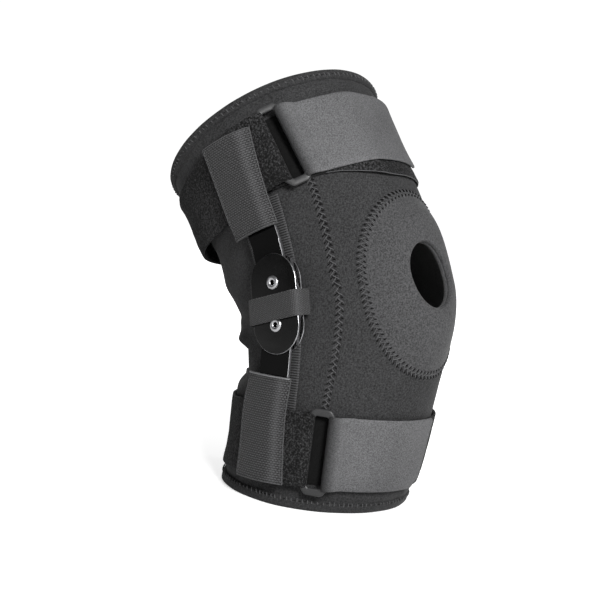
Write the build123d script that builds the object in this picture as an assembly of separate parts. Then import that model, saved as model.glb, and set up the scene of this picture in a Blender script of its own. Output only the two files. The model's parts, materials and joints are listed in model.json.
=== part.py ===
from build123d import *
import math
import os

# Hinged knee brace. Millimetres and degrees. The brace stands on its lower hem:
# XY is the plane of that hem, +Z runs up the shin, the kneecap faces -Y and X is
# the direction of the hinge pins. "right" is the -X side and "left" the +X side.

# ---------------------------------------------------------------- driving dimensions
# Cross-sections of the sleeve's outer face, from the lower hem to the upper one:
# (distance along the leg, centre y, centre z, tilt, side, front and back half-widths)
STATIONS = [
    (0, 0, 0, 0, 60.5, 54, 62),
    (25, -0.5, 25, 0, 60, 60, 61),
    (55, -1.5, 55, 1, 60.5, 63, 61),
    (83, 0, 83, 5, 58.5, 69, 60),
    (103, 3, 102.5, 12, 57, 76, 60),
    (123, 7, 120.5, 20, 56, 78, 60),
    (163, 26, 157, 33, 60, 71, 66),
    (197, 47, 183.5, 39, 65, 70, 69),
    (242, 77, 215.5, 42, 71, 71, 77),
]
SLEEVE_TOP = 242
SEAM_MID = 130
SEAM_ANGLE = 60
SEAM_TURN_UP = 9
SEAM_TURN_DOWN = 2
SEAM_SPAN_UP = 58
SEAM_SPAN_DOWN = 67
NEOPRENE = 3.5
HEM_HEIGHT = 8
HEM_INSIDE = -4.2
HEM_OUTSIDE = 0.8

# Dual-pivot geared hinge
PIVOT_SPACING = 25
LOWER_PIVOT_Y = -1
LOWER_PIVOT_Z = 107
SHIN_LEAN = 4
REST_FLEXION = 24
PLATE_RADIUS = 17.5
PLATE_THICKNESS = 1.2
INNER_PLATE_X = 59.6
ARM_X = 61.3
ARM_THICKNESS = 2.4
ARM_WIDTH = 22
ARM_LENGTH = 90
ARM_BEND_AT = 24
UPPER_ARM_BEND = 7.5
OUTER_PLATE_X = 64.2
WASHER_THICKNESS = 0.4
WASHER_RADIUS = 6
RIVET_SHANK = 3
RIVET_HEAD = 4.7
RIVET_HEAD_HEIGHT = 1.6
RIVET_RECESS = 1.7
RIVET_RECESS_DEPTH = 1.0
RIVET_FOOT = 4
RIVET_FOOT_THICKNESS = 0.8
PIN_CLEARANCE = 0.08

# Gear heads of the arms
TEETH = 20
PRESSURE_ANGLE = 25
ADDENDUM = 0.8
DEDENDUM = 1.15
BACKLASH = 0.16
STOP_INNER = 11.5
STOP_OUTER = 15.5
STOP_GAP = 0.15

# Straps, rings and pockets
STRAP_WIDTH = 44
STRAP_THICKNESS = 1.8
STRAP_CLEARANCE = 0.8
TAIL_CLEARANCE = 3.7
HOOK_CLEARANCE = 2.9
HOOK_THICKNESS = 0.6
CALF_STRAP_MID = 37.5
THIGH_STRAP_MID = 200.5
BAND_START = 71
BAND_END = 403
HOOK_INSET = 3
HOOK_SPAN = 30
RING_LENGTH = 52
RING_WIDTH = 18
RING_BAR = 1.4
RING_ANGLE = 57
LOOP_CLEARANCE = 0.3
LOOP_THICKNESS = 1.5
LOOP_LEG = 4.5
POCKET_WIDTH = 35
POCKET_CLEARANCE = 3.0
POCKET_THICKNESS = 1.2
POCKET_SETBACK = 3.5
UPPER_POCKET = (32, 91)
LOWER_POCKET = (-93, -30)

# How far the straps stand off the sleeve over the front edges of the arms:
# (distance along the leg, angle of the ridge, its change per mm, height, its change per mm)
CALF_RIDGE = (17, 75, 0.1, 5.9, -0.04)
THIGH_RIDGE = (178, 77, -0.2, 6.6, 0.071)
RIDGE_FRONT_WIDTH = 18
CALF_RIDGE_BACK_WIDTH = 34
THIGH_RIDGE_BACK_WIDTH = 22

# Openings and pads of the knee section
THIGH_FRONT_ANGLE = 46
THIGH_BACK_ANGLE = 16
SHIN_FRONT_ANGLE = 32
SHIN_BACK_ANGLE = 21
KNEE_GAP = 0.3
PATELLA_MID = 124
PATELLA_HALF_WIDTH = 42
PATELLA_HALF_HEIGHT = 55
PATELLA_HOLE_HALF_WIDTH = 17
PATELLA_HOLE_HALF_HEIGHT = 22
BUTTRESS_WIDTH = 13
BUTTRESS_DEPTH = 4
BACK_OPENING_Z = 84
BACK_OPENING_HALF_WIDTH = 54
BACK_OPENING_HALF_HEIGHT = 13

# Keeper web and backing tape
KEEPER_HEIGHT = 15.5
KEEPER_THICKNESS = 1
KEEPER_FRONT_REACH = 21
KEEPER_REAR_REACH = 25
KEEPER_FLAT = 18.6
KEEPER_FOOT_X = 55.5
KEEPER_DROP = 2.5
TAPE_WIDTH = 30
TAPE_THICKNESS = 0.6
TAPE_CLEARANCE = 0.2
TAPE_REACH = 44
TAPE_STRAIGHT = 5

FAR = 200
OUTLINE_POINTS = 24
STEP_ALONG = 10

# ---------------------------------------------------------------- derived places
PLATE_LEAN = SHIN_LEAN + REST_FLEXION / 2
THIGH_LEAN = SHIN_LEAN + REST_FLEXION
LOWER_PIVOT = (LOWER_PIVOT_Y, LOWER_PIVOT_Z)
UPPER_PIVOT = (
    LOWER_PIVOT_Y + PIVOT_SPACING * math.sin(math.radians(PLATE_LEAN)),
    LOWER_PIVOT_Z + PIVOT_SPACING * math.cos(math.radians(PLATE_LEAN)),
)
RIVET_HEAD_X = OUTER_PLATE_X + PLATE_THICKNESS


# ---------------------------------------------------------------- the sleeve's surface
def station(along):
    """Centre y, centre z, tilt and three half-widths at a distance along the leg."""
    rows = STATIONS
    index = 0
    while index < len(rows) - 2 and along > rows[index + 1][0]:
        index += 1
    start, end = rows[index], rows[index + 1]
    before = rows[max(index - 1, 0)]
    after = rows[min(index + 2, len(rows) - 1)]
    span = end[0] - start[0]
    t = (along - start[0]) / span
    values = []
    for column in range(1, 7):
        rise_in = (end[column] - before[column]) / (end[0] - before[0]) * span
        rise_out = (after[column] - start[column]) / (after[0] - start[0]) * span
        values.append(
            (2 * t**3 - 3 * t**2 + 1) * start[column]
            + (t**3 - 2 * t**2 + t) * rise_in
            + (3 * t**2 - 2 * t**3) * end[column]
            + (t**3 - t**2) * rise_out
        )
    return values


def surface(along, angle, offset=0):
    """Point on the sleeve: angle 0 is the front, 90 the right side, 180 the back."""
    y, z, tilt, side, front, back = station(along)
    cosine = math.cos(math.radians(angle))
    sine = math.sin(math.radians(angle))
    forward = ((front if cosine > 0 else back) + offset) * cosine
    lean = math.radians(tilt)
    return Vector(
        -(side + offset) * sine,
        y - forward * math.cos(lean),
        z + forward * math.sin(lean),
    )


def section(along, offset):
    """Closed outline of the sleeve, grown outwards by a number or a function."""
    points = []
    for index in range(OUTLINE_POINTS):
        angle = 180 + 360 * index / OUTLINE_POINTS
        grow = offset(along, angle % 360) if callable(offset) else offset
        points.append(surface(along, angle, grow))
    return Wire([Edge.make_spline(points, periodic=True)])


def stops(start, end):
    """Evenly spaced distances from start to end, about STEP_ALONG apart."""
    count = max(2, round((end - start) / STEP_ALONG))
    return [start + (end - start) * index / count for index in range(count + 1)]


def shell(start, end, inside, outside):
    """Wall between two offsets of the sleeve's outer face."""
    outer = Solid.make_loft([section(along, outside) for along in stops(start, end)])
    inner = Solid.make_loft([section(along, inside) for along in stops(start - 2, end + 2)])
    return outer - inner


# ---------------------------------------------------------------- cutting regions
def side_prism(points, x_start=-FAR, x_end=FAR):
    """Prism along X from an outline of (y, z) points."""
    outline = [Vector(x_start, y, z) for y, z in points]
    return Solid.extrude(Face(Wire.make_polygon(outline)), Vector(x_end - x_start, 0, 0))


def lean_frame(lean):
    """Unit vectors (y, z) up along a bar and forwards across it."""
    angle = math.radians(lean)
    return (math.sin(angle), math.cos(angle)), (-math.cos(angle), math.sin(angle))


def from_pivot(pivot, up, forward, lean=PLATE_LEAN):
    """Point (y, z) at distances up along and forwards across a bar."""
    along, across = lean_frame(lean)
    return (
        pivot[0] + up * along[0] + forward * across[0],
        pivot[1] + up * along[1] + forward * across[1],
    )


def ray(pivot, degrees_up, side, sign):
    """Far point from a pivot, raised from the hinge's cross direction."""
    rise = math.radians(degrees_up)
    return from_pivot(pivot, sign * FAR * math.sin(rise), side * FAR * math.cos(rise))


def thigh_zone():
    """Region above the upper pivot that moves with the thigh."""
    apex = from_pivot(UPPER_PIVOT, KNEE_GAP, 0)
    top = from_pivot(UPPER_PIVOT, 2 * FAR, 0)
    return side_prism([apex, ray(apex, THIGH_BACK_ANGLE, -1, 1), top,
                       ray(apex, THIGH_FRONT_ANGLE, 1, 1)])


def shin_zone():
    """Region below the lower pivot that moves with the shin."""
    apex = from_pivot(LOWER_PIVOT, -KNEE_GAP, 0)
    bottom = from_pivot(LOWER_PIVOT, -2 * FAR, 0)
    return side_prism([apex, ray(apex, SHIN_BACK_ANGLE, -1, -1), bottom,
                       ray(apex, SHIN_FRONT_ANGLE, 1, -1)])


def knee_zone():
    """Region between the two pivots' rays, which bends with the knee."""
    return side_prism([
        UPPER_PIVOT,
        ray(UPPER_PIVOT, THIGH_BACK_ANGLE, -1, 1),
        ray(LOWER_PIVOT, SHIN_BACK_ANGLE, -1, -1),
        LOWER_PIVOT,
        ray(LOWER_PIVOT, SHIN_FRONT_ANGLE, 1, -1),
        ray(UPPER_PIVOT, THIGH_FRONT_ANGLE, 1, 1),
    ])


def seam_angle(along):
    """Angle of the stitched seam between the front and back panels."""
    if along > SEAM_MID:
        return SEAM_ANGLE - SEAM_TURN_UP * min(1, (along - SEAM_MID) / SEAM_SPAN_UP)
    return SEAM_ANGLE - SEAM_TURN_DOWN * min(1, (SEAM_MID - along) / SEAM_SPAN_DOWN)


def front_zone():
    """Region in front of the two side seams."""
    seam = []
    for along in stops(-20, SLEEVE_TOP + 20):
        point = surface(along, seam_angle(along))
        seam.append((point.Y, point.Z))
    last = seam[-1]
    return side_prism(seam + [(last[0] - FAR, last[1] + FAR), (seam[0][0] - FAR, seam[0][1])])


def oval_plane(along):
    """Plane through the leg's axis that faces forwards at a distance along it."""
    y, z, tilt = station(along)[:3]
    lean = math.radians(tilt)
    return Plane(origin=(0, y, z), x_dir=(1, 0, 0), z_dir=(0, -math.cos(lean), math.sin(lean)))


def oval_prism(plane, half_width, half_height, shift=0):
    """Elliptic prism from the leg's axis out through one face of the sleeve."""
    outline = plane * Pos(0, shift) * Ellipse(half_width, half_height)
    return extrude(outline, amount=FAR, dir=plane.z_dir)


def back_opening_prism():
    """Prism of the opening behind the knee."""
    plane = Plane(origin=(0, 0, BACK_OPENING_Z), x_dir=(-1, 0, 0), z_dir=(0, 1, 0))
    return oval_prism(plane, BACK_OPENING_HALF_WIDTH, BACK_OPENING_HALF_HEIGHT)


# ---------------------------------------------------------------- sleeve pieces
def sleeve_panels():
    """Neoprene panels of the thigh, the knee and the shin, split at their seams."""
    wall = shell(HEM_HEIGHT, SLEEVE_TOP - HEM_HEIGHT, -NEOPRENE, 0)
    front = front_zone()
    zones = {"thigh": thigh_zone(), "knee": knee_zone(), "shin": shin_zone()}
    panels = {}
    for name, zone in zones.items():
        piece = wall & zone
        panels[f"{name}_front_panel"] = piece & front
        panels[f"{name}_back_panel"] = piece - front
    plane = oval_plane(PATELLA_MID)
    oval = oval_prism(plane, PATELLA_HALF_WIDTH, PATELLA_HALF_HEIGHT)
    hole = oval_prism(plane, PATELLA_HOLE_HALF_WIDTH, PATELLA_HOLE_HALF_HEIGHT)
    panels["patella_panel"] = (panels["knee_front_panel"] & oval) - hole
    for name in ("knee_front_panel", "thigh_front_panel", "shin_front_panel"):
        panels[name] = panels[name] - oval
    panels["knee_back_panel"] = panels["knee_back_panel"] - back_opening_prism()
    panels["shin_back_panel"] = panels["shin_back_panel"] - back_opening_prism()
    return panels


def patella_buttress():
    """Ring pad that lies behind the kneecap opening, against the leg."""
    plane = oval_plane(PATELLA_MID)
    outside = -NEOPRENE - 0.2
    wall = shell(PATELLA_MID - 40, PATELLA_MID + 40, outside - BUTTRESS_DEPTH, outside)
    outer = oval_prism(plane, PATELLA_HOLE_HALF_WIDTH + BUTTRESS_WIDTH,
                       PATELLA_HOLE_HALF_HEIGHT + BUTTRESS_WIDTH)
    inner = oval_prism(plane, PATELLA_HOLE_HALF_WIDTH, PATELLA_HOLE_HALF_HEIGHT)
    return (wall & outer) - inner


def hems():
    """Folded bindings at the two ends of the sleeve."""
    return {
        "lower_hem": shell(0, HEM_HEIGHT, HEM_INSIDE, HEM_OUTSIDE),
        "upper_hem": shell(SLEEVE_TOP - HEM_HEIGHT, SLEEVE_TOP, HEM_INSIDE, HEM_OUTSIDE),
    }


# ---------------------------------------------------------------- hinge pieces, right side
def bar_plane(pivot, lean, x=0):
    """Plane across the pins: local x forwards, local y up the bar, local z outwards."""
    angle = math.radians(lean)
    return Plane(origin=(-x, pivot[0], pivot[1]),
                 x_dir=(0, -math.cos(angle), math.sin(angle)), z_dir=(-1, 0, 0))


def involute(angle):
    """Involute function of an angle in radians."""
    return math.tan(angle) - angle


def gear_face(tooth_at):
    """Spur gear outline with one tooth centred at an angle in degrees."""
    pitch = PIVOT_SPACING / 2
    base = pitch * math.cos(math.radians(PRESSURE_ANGLE))
    root = pitch - DEDENDUM
    tip = pitch + ADDENDUM
    half = math.pi / (2 * TEETH) - BACKLASH / (2 * pitch)
    flank = []
    for radius in (max(base, root), pitch - 0.4, pitch, pitch + 0.4, tip):
        roll = math.acos(min(1, base / radius))
        flank.append((radius, half + involute(math.radians(PRESSURE_ANGLE)) - involute(roll)))
    points = []
    for tooth in range(TEETH):
        centre = math.radians(tooth_at) + 2 * math.pi * tooth / TEETH
        rising = [(radius, centre - width) for radius, width in flank]
        falling = [(radius, centre + width) for radius, width in reversed(flank)]
        for radius, angle in rising + falling:
            points.append((radius * math.cos(angle), radius * math.sin(angle)))
    return make_face(Polyline(points, close=True))


def arm_outline(tooth_at, front):
    """Flat outline of a geared arm that points along local +y."""
    head = gear_face(tooth_at)
    straight = ARM_LENGTH - ARM_WIDTH / 2
    bar = Pos(0, straight / 2) * Rectangle(ARM_WIDTH, straight)
    tip = Pos(0, straight) * Circle(ARM_WIDTH / 2)
    reach = PIVOT_SPACING / 2 - STOP_GAP / 2
    stop_mid = front * (STOP_INNER + STOP_OUTER) / 2
    stop = Pos(stop_mid, (4 - reach) / 2) * Rectangle(STOP_OUTER - STOP_INNER, 4 + reach)
    shoulder = Pos(front * (STOP_OUTER + 8) / 2, 6) * Rectangle(STOP_OUTER - 8, 8)
    return head + bar + tip + stop + shoulder - Circle(RIVET_SHANK + PIN_CLEARANCE)


def arm(pivot, lean, front, tooth_at, bend):
    """Geared hinge arm, bent outwards beyond the hinge by an angle."""
    plane = bar_plane(pivot, lean, ARM_X - 4)
    blank = extrude(plane * arm_outline(tooth_at, front), amount=30, dir=plane.z_dir)
    rise = (ARM_LENGTH + 2 - ARM_BEND_AT) * math.tan(math.radians(bend))
    profile = [(-20, 4), (ARM_BEND_AT, 4), (ARM_LENGTH + 2, 4 + rise)]
    profile += [(up, out + ARM_THICKNESS) for up, out in reversed(profile)]
    edge = [plane.from_local_coords((-20, up, out)) for up, out in profile]
    slab = Solid.extrude(Face(Wire.make_polygon(edge)), plane.x_dir * 40)
    return blank & slab


def plate_face():
    """Outline of a hinge cover plate about its middle."""
    width = 2 * PLATE_RADIUS
    ends = Pos(0, PIVOT_SPACING / 2) * Circle(PLATE_RADIUS)
    ends += Pos(0, -PIVOT_SPACING / 2) * Circle(PLATE_RADIUS)
    holes = Pos(0, PIVOT_SPACING / 2) * Circle(RIVET_SHANK + 0.02)
    holes += Pos(0, -PIVOT_SPACING / 2) * Circle(RIVET_SHANK + 0.02)
    return Rectangle(width, PIVOT_SPACING) + ends - holes


def cover_plate(x, domed):
    """Racetrack cover plate, its outer rim rounded when domed."""
    middle = from_pivot(LOWER_PIVOT, PIVOT_SPACING / 2, 0)
    plane = bar_plane(middle, PLATE_LEAN, x)
    plate = extrude(plane * plate_face(), amount=PLATE_THICKNESS, dir=plane.z_dir)
    if domed:
        rim = plate.edges().sort_by(Axis.X)[:6].sort_by(SortBy.LENGTH)[2:]
        plate = fillet(rim, 0.6)
    return plate


def washers():
    """Four bearing washers, one on each side of both arms."""
    group = []
    for pivot in (LOWER_PIVOT, UPPER_PIVOT):
        for x in (ARM_X - 0.1 - WASHER_THICKNESS, OUTER_PLATE_X - WASHER_THICKNESS):
            plane = bar_plane(pivot, PLATE_LEAN, x)
            ring = Circle(WASHER_RADIUS) - Circle(RIVET_SHANK + 0.02)
            group.append(extrude(plane * ring, amount=WASHER_THICKNESS, dir=plane.z_dir))
    return Compound(children=group)


def rivet(pivot):
    """Tubular rivet turned about its pin line, with a domed and dished head."""
    foot = INNER_PLATE_X - RIVET_FOOT_THICKNESS
    top = RIVET_HEAD_X + RIVET_HEAD_HEIGHT
    with BuildSketch(Plane.XZ) as half:
        with BuildLine():
            Polyline((0, foot), (RIVET_FOOT, foot), (RIVET_FOOT, INNER_PLATE_X),
                     (RIVET_SHANK, INNER_PLATE_X), (RIVET_SHANK, RIVET_HEAD_X),
                     (RIVET_HEAD, RIVET_HEAD_X), (RIVET_HEAD, RIVET_HEAD_X + 0.4))
            ThreePointArc((RIVET_HEAD, RIVET_HEAD_X + 0.4), (RIVET_HEAD - 1.1, top - 0.3),
                          (RIVET_RECESS + 0.3, top))
            Polyline((RIVET_RECESS + 0.3, top), (RIVET_RECESS, top - RIVET_RECESS_DEPTH),
                     (0, top - RIVET_RECESS_DEPTH), (0, foot))
        make_face()
    turned = revolve(half.sketch, axis=Axis.Z)
    return bar_plane(pivot, PLATE_LEAN) * turned


def keeper_web():
    """Woven keeper that crosses the outer plate and runs down to the sleeve."""
    middle = from_pivot(LOWER_PIVOT, PIVOT_SPACING / 2 - KEEPER_DROP, 0)
    plane = bar_plane(middle, PLATE_LEAN)
    low = RIVET_HEAD_X + RIVET_HEAD_HEIGHT + 0.3
    shoulder = KEEPER_FLAT + 0.9
    upper = [(-KEEPER_REAR_REACH - KEEPER_THICKNESS, KEEPER_FOOT_X), (-shoulder, low + KEEPER_THICKNESS),
             (shoulder, low + KEEPER_THICKNESS), (KEEPER_FRONT_REACH + KEEPER_THICKNESS, KEEPER_FOOT_X)]
    lower = [(KEEPER_FRONT_REACH, KEEPER_FOOT_X), (KEEPER_FLAT, low),
             (-KEEPER_FLAT, low), (-KEEPER_REAR_REACH, KEEPER_FOOT_X)]
    edge = [plane.from_local_coords((n, -KEEPER_HEIGHT / 2, x)) for n, x in upper + lower]
    return Solid.extrude(Face(Wire.make_polygon(edge)), plane.y_dir * KEEPER_HEIGHT)


def backing_tape():
    """Ribbed tape between the arms and the sleeve, from pocket to pocket."""
    wall = shell(CALF_STRAP_MID, THIGH_STRAP_MID, TAPE_CLEARANCE, TAPE_CLEARANCE + TAPE_THICKNESS)
    outline = []
    for half, turn in ((TAPE_WIDTH / 2, 1), (-TAPE_WIDTH / 2, -1)):
        side = [from_pivot(LOWER_PIVOT, -TAPE_REACH, half, SHIN_LEAN),
                from_pivot(LOWER_PIVOT, TAPE_STRAIGHT, half),
                from_pivot(UPPER_PIVOT, -TAPE_STRAIGHT, half),
                from_pivot(UPPER_PIVOT, TAPE_REACH, half, THIGH_LEAN)]
        outline += side[::turn]
    return wall & side_prism(outline, -FAR, 0)


# ---------------------------------------------------------------- straps
def ridge(along, angle, shape, back_width):
    """Height of a strap over the sleeve beside the ridge where it bends over an arm."""
    start, peak, peak_change, height, height_change = shape
    turn = min(angle, 360 - angle) - peak - peak_change * (along - start)
    width = RIDGE_FRONT_WIDTH if turn < 0 else back_width
    return (height + height_change * (along - start)) * math.exp(-((turn / width) ** 2))


def calf_rise(along, angle):
    """How far the calf strap stands off the sleeve where it crosses the arms."""
    return ridge(along, angle, CALF_RIDGE, CALF_RIDGE_BACK_WIDTH)


def thigh_rise(along, angle):
    """How far the thigh strap stands off the sleeve where it crosses the arms."""
    return ridge(along, angle, THIGH_RIDGE, THIGH_RIDGE_BACK_WIDTH)


def grown(rise, clearance):
    """Offset function: a rise over the arms plus a constant clearance."""
    return lambda along, angle: rise(along, angle) + clearance


def wedge(start, end):
    """Region about the leg's axis between two angles, less than 180 degrees apart."""
    points = [(0, 0)]
    for angle in (start, (start + end) / 2, end):
        turn = math.radians(angle)
        points.append((-FAR * math.sin(turn), FAR * math.cos(turn)))
    return points


def strap_arc(middle, rise, clearance, thickness, start, end):
    """Part of a strap between two angles about the leg."""
    low = middle - STRAP_WIDTH / 2
    wall = shell(low, low + STRAP_WIDTH, grown(rise, clearance), grown(rise, clearance + thickness))
    y, z, tilt = station(middle)[:3]
    lean = math.radians(tilt)
    plane = Plane(origin=(0, y, z), x_dir=(1, 0, 0), z_dir=(0, math.sin(lean), math.cos(lean)))
    pieces = []
    count = math.ceil((end - start) / 120)
    span = (end - start) / count
    for index in range(count):
        outline = wedge(start + index * span, start + (index + 1) * span)
        edge = [plane.from_local_coords((x, -y_front, -FAR)) for x, y_front in outline]
        region = Solid.extrude(Face(Wire.make_polygon(edge)), plane.z_dir * 2 * FAR)
        pieces.append(wall & region)
    return pieces[0].fuse(*pieces[1:]) if count > 1 else pieces[0]


def ring_plane(middle, stand_off, twist):
    """Plane of a ring: local x towards the front, local y up the leg, local z outwards."""
    centre = surface(middle, RING_ANGLE, stand_off)
    ahead = surface(middle, RING_ANGLE - 4, stand_off) - surface(middle, RING_ANGLE + 4, stand_off)
    upward = surface(middle + 5, RING_ANGLE, stand_off) - surface(middle - 5, RING_ANGLE, stand_off)
    outward = ahead.cross(upward)
    return Plane(origin=centre, x_dir=ahead, z_dir=outward).rotated((0, 0, twist))


def ring(plane):
    """Moulded ring with two round bars and flat chamfered ends."""
    outline = chamfer(Rectangle(RING_WIDTH, RING_LENGTH).vertices(), 3)
    slot = Rectangle(RING_WIDTH - 4 * RING_BAR, STRAP_WIDTH + 1)
    bar_x = RING_WIDTH / 2 - RING_BAR
    frame = extrude(outline - slot, amount=RING_BAR, both=True)
    gap = Box(2 * RING_BAR + 0.02, STRAP_WIDTH + 1, 4 * RING_BAR)
    bar = Rot(90, 0, 0) * Cylinder(RING_BAR, STRAP_WIDTH + 1)
    body = frame
    for x in (-bar_x, bar_x):
        body = body - Pos(x, 0, 0) * gap + Pos(x, 0, 0) * bar
    return plane * body


def strap_loop(plane, towards):
    """Strap folded round one bar of a ring, with its two legs leaving the slot."""
    bar_x = towards * (RING_WIDTH / 2 - RING_BAR)
    inner = RING_BAR + LOOP_CLEARANCE
    outer = inner + LOOP_THICKNESS
    tube = Circle(outer) - Circle(inner)
    half = tube & Pos(-towards * outer / 2, 0) * Rectangle(outer, 2 * outer)
    leg_mid = (inner + outer) / 2
    for height in (-leg_mid, leg_mid):
        half += Pos(towards * LOOP_LEG / 2, height) * Rectangle(LOOP_LEG, LOOP_THICKNESS)
    solid = extrude(Plane.XZ * half, amount=STRAP_WIDTH / 2, both=True)
    return plane * Pos(bar_x, 0, 0) * solid


def strap_set(name, middle, rise, stand_off, twist, tail_start, tail_end):
    """Band, tail, hook patch, ring and folded ends of one strap."""
    plane = ring_plane(middle, stand_off, twist)
    return {
        f"{name}_strap": strap_arc(middle, rise, STRAP_CLEARANCE, STRAP_THICKNESS, BAND_START, BAND_END),
        f"{name}_strap_tail": strap_arc(middle, rise, TAIL_CLEARANCE, STRAP_THICKNESS, tail_end,
                                        tail_start),
        f"{name}_hook_patch": strap_arc(middle, rise, HOOK_CLEARANCE, HOOK_THICKNESS,
                                        tail_end + HOOK_INSET, tail_end + HOOK_INSET + HOOK_SPAN),
        f"{name}_ring": ring(plane),
        f"{name}_strap_anchor_loop": strap_loop(plane, -1),
        f"{name}_strap_fold": strap_loop(plane, 1),
    }


def pocket(pivot, lean, span, rise, along_start, along_end):
    """Woven elastic pocket over an arm and the strap that crosses it."""
    up_start, up_end = span
    wall = shell(along_start, along_end, grown(rise, POCKET_CLEARANCE),
                 grown(rise, POCKET_CLEARANCE + POCKET_THICKNESS))
    half = POCKET_WIDTH / 2
    corners = [(up_start, half), (up_end, half), (up_end, -half), (up_start, -half)]
    outline = [from_pivot(pivot, up, across - POCKET_SETBACK, lean) for up, across in corners]
    return wall & side_prism(outline, -FAR, 0)


# ---------------------------------------------------------------- assembly
def right_hardware():
    """Every hinge piece of the right side, by its plain name."""
    pieces = {
        "upper_arm": arm(UPPER_PIVOT, THIGH_LEAN, 1, -90, UPPER_ARM_BEND),
        "lower_arm": arm(LOWER_PIVOT, SHIN_LEAN + 180, -1, -90 + 180 / TEETH, 0),
        "outer_cover": cover_plate(OUTER_PLATE_X, True),
        "inner_cover": cover_plate(INNER_PLATE_X, False),
        "washers": washers(),
        "upper_rivet": rivet(UPPER_PIVOT),
        "lower_rivet": rivet(LOWER_PIVOT),
        "keeper_web": keeper_web(),
        "backing_tape": backing_tape(),
        "upper_pocket": pocket(UPPER_PIVOT, THIGH_LEAN, UPPER_POCKET, thigh_rise, PATELLA_MID, SLEEVE_TOP),
        "lower_pocket": pocket(LOWER_PIVOT, SHIN_LEAN, LOWER_POCKET, calf_rise, 0, PATELLA_MID),
    }
    return pieces


def all_pieces():
    """Every sub-part of the brace by node name."""
    pieces = sleeve_panels()
    pieces["patella_buttress"] = patella_buttress()
    pieces.update(hems())
    for name, piece in right_hardware().items():
        pieces[f"right_{name}"] = piece
        pieces[f"left_{name}"] = mirror(piece, about=Plane.YZ)
    pieces.update(strap_set("calf", CALF_STRAP_MID, calf_rise, 4.2, -5, 45, -15))
    pieces.update(strap_set("thigh", THIGH_STRAP_MID, thigh_rise, 5.6, 8, 42, -25))
    return pieces


os.makedirs("parts", exist_ok=True)
for node, shape in all_pieces().items():
    shape.label = node
    export_step(shape, f"parts/{node}.step")
print("upper pivot (y, z):", [round(value, 3) for value in UPPER_PIVOT])
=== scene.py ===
"""Looks of the hinged knee brace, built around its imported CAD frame.

Lengths are millimetres until a mesh is made.
"""
import json
import math

import bmesh
import bpy
import numpy as np
from mathutils import Matrix, Vector, noise


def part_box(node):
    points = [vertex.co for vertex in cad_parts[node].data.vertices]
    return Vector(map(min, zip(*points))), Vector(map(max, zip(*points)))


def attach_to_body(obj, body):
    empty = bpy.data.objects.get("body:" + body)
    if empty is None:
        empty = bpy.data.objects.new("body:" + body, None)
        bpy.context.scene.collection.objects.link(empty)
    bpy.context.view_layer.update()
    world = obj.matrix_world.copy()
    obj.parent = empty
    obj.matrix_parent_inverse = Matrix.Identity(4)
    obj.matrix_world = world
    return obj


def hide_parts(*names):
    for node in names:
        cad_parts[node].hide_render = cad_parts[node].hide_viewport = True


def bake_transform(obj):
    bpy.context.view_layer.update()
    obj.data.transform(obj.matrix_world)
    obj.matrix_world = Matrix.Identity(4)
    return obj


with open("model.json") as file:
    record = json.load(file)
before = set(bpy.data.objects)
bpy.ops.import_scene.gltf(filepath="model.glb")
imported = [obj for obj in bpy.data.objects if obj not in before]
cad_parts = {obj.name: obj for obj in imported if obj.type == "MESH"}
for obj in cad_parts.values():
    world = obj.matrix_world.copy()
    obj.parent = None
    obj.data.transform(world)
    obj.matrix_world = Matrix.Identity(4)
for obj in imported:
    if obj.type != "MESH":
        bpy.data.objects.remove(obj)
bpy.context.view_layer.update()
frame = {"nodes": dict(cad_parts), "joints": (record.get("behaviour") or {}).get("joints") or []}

# ---------------------------------------------------------------- sizes
# The stations are the CAD model's, eased by up to 4 mm.
# (distance along the leg, centre y, centre z, tilt, side, front and back half-widths)
STATIONS = [
    (0, 0, 0, 0, 60.5, 51, 62.5),
    (25, -0.5, 25, 0, 60, 58.5, 58.5),
    (55, -1.5, 55, 1, 60.5, 62, 60.5),
    (83, 0, 83, 5, 58.5, 69, 60),
    (103, 3, 102.5, 12, 57, 76.3, 60),
    (123, 7, 120.5, 20, 56, 77.2, 60),
    (163, 26, 157, 33, 60, 70, 66),
    (197, 47, 183.5, 39, 65, 66.5, 68.5),
    (242, 77, 215.5, 42, 71, 71, 74),
]
MM = 0.001
SLEEVE_TOP = 242
SPLIT = 122
NEOPRENE = 3.5
HEM = 6.5
STRAP_WIDTH = 44
STRAP_THICK = 1.8
STRAP_GAP = 0.8
TAIL_GAP = 3.0
CALF_MID = 37.5
THIGH_MID = 200.5
CALF_RIDGE = (17, 75, 0.1, 5.9, -0.04, 34)
THIGH_RIDGE = (178, 77, -0.2, 6.6, 0.071, 22)
POCKET_WIDTH = 35
POCKET_SETBACK = 3.5
SHIN_LEAN = 4
THIGH_LEAN = 28
PLATE_LEAN = 16
PATELLA_HALF_ANGLE = 48
PATELLA_HALF_LENGTH = 40
HOLE_HALF_ANGLE = 17.3
HOLE_HALF_LENGTH = 14.0
HOLE_ANGLE = 3.8
HOLE_RISE = 2.6
BACK_OPENING_Z = 80
BACK_OPENING = (54, 11)
SLEEVE_ARC = 1.08
STRAP_ARC = 1.14
WRAP = 2.55
STRAP_LEG = 13.0
OVER_LEG = 6.0
RIVET_PLANE = 65.45
BAR_RADIUS = 1.45
# the two end angles of a band, and how much of its path stands for the way between them
BAND_START = 64
BAND_END = 360 + 44
BAND_SCALE = 1000

JOINTS = {joint["name"]: joint for joint in frame["joints"]}
LOWER_PIVOT = np.array(JOINTS["lower_pivot"]["pos_m"]) / MM
UPPER_PIVOT = np.array(JOINTS["upper_pivot"]["pos_m"]) / MM
HINGE_MID = (LOWER_PIVOT + UPPER_PIVOT) / 2
PIVOT_HALF = float(np.linalg.norm(UPPER_PIVOT - LOWER_PIVOT)) / 2


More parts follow.
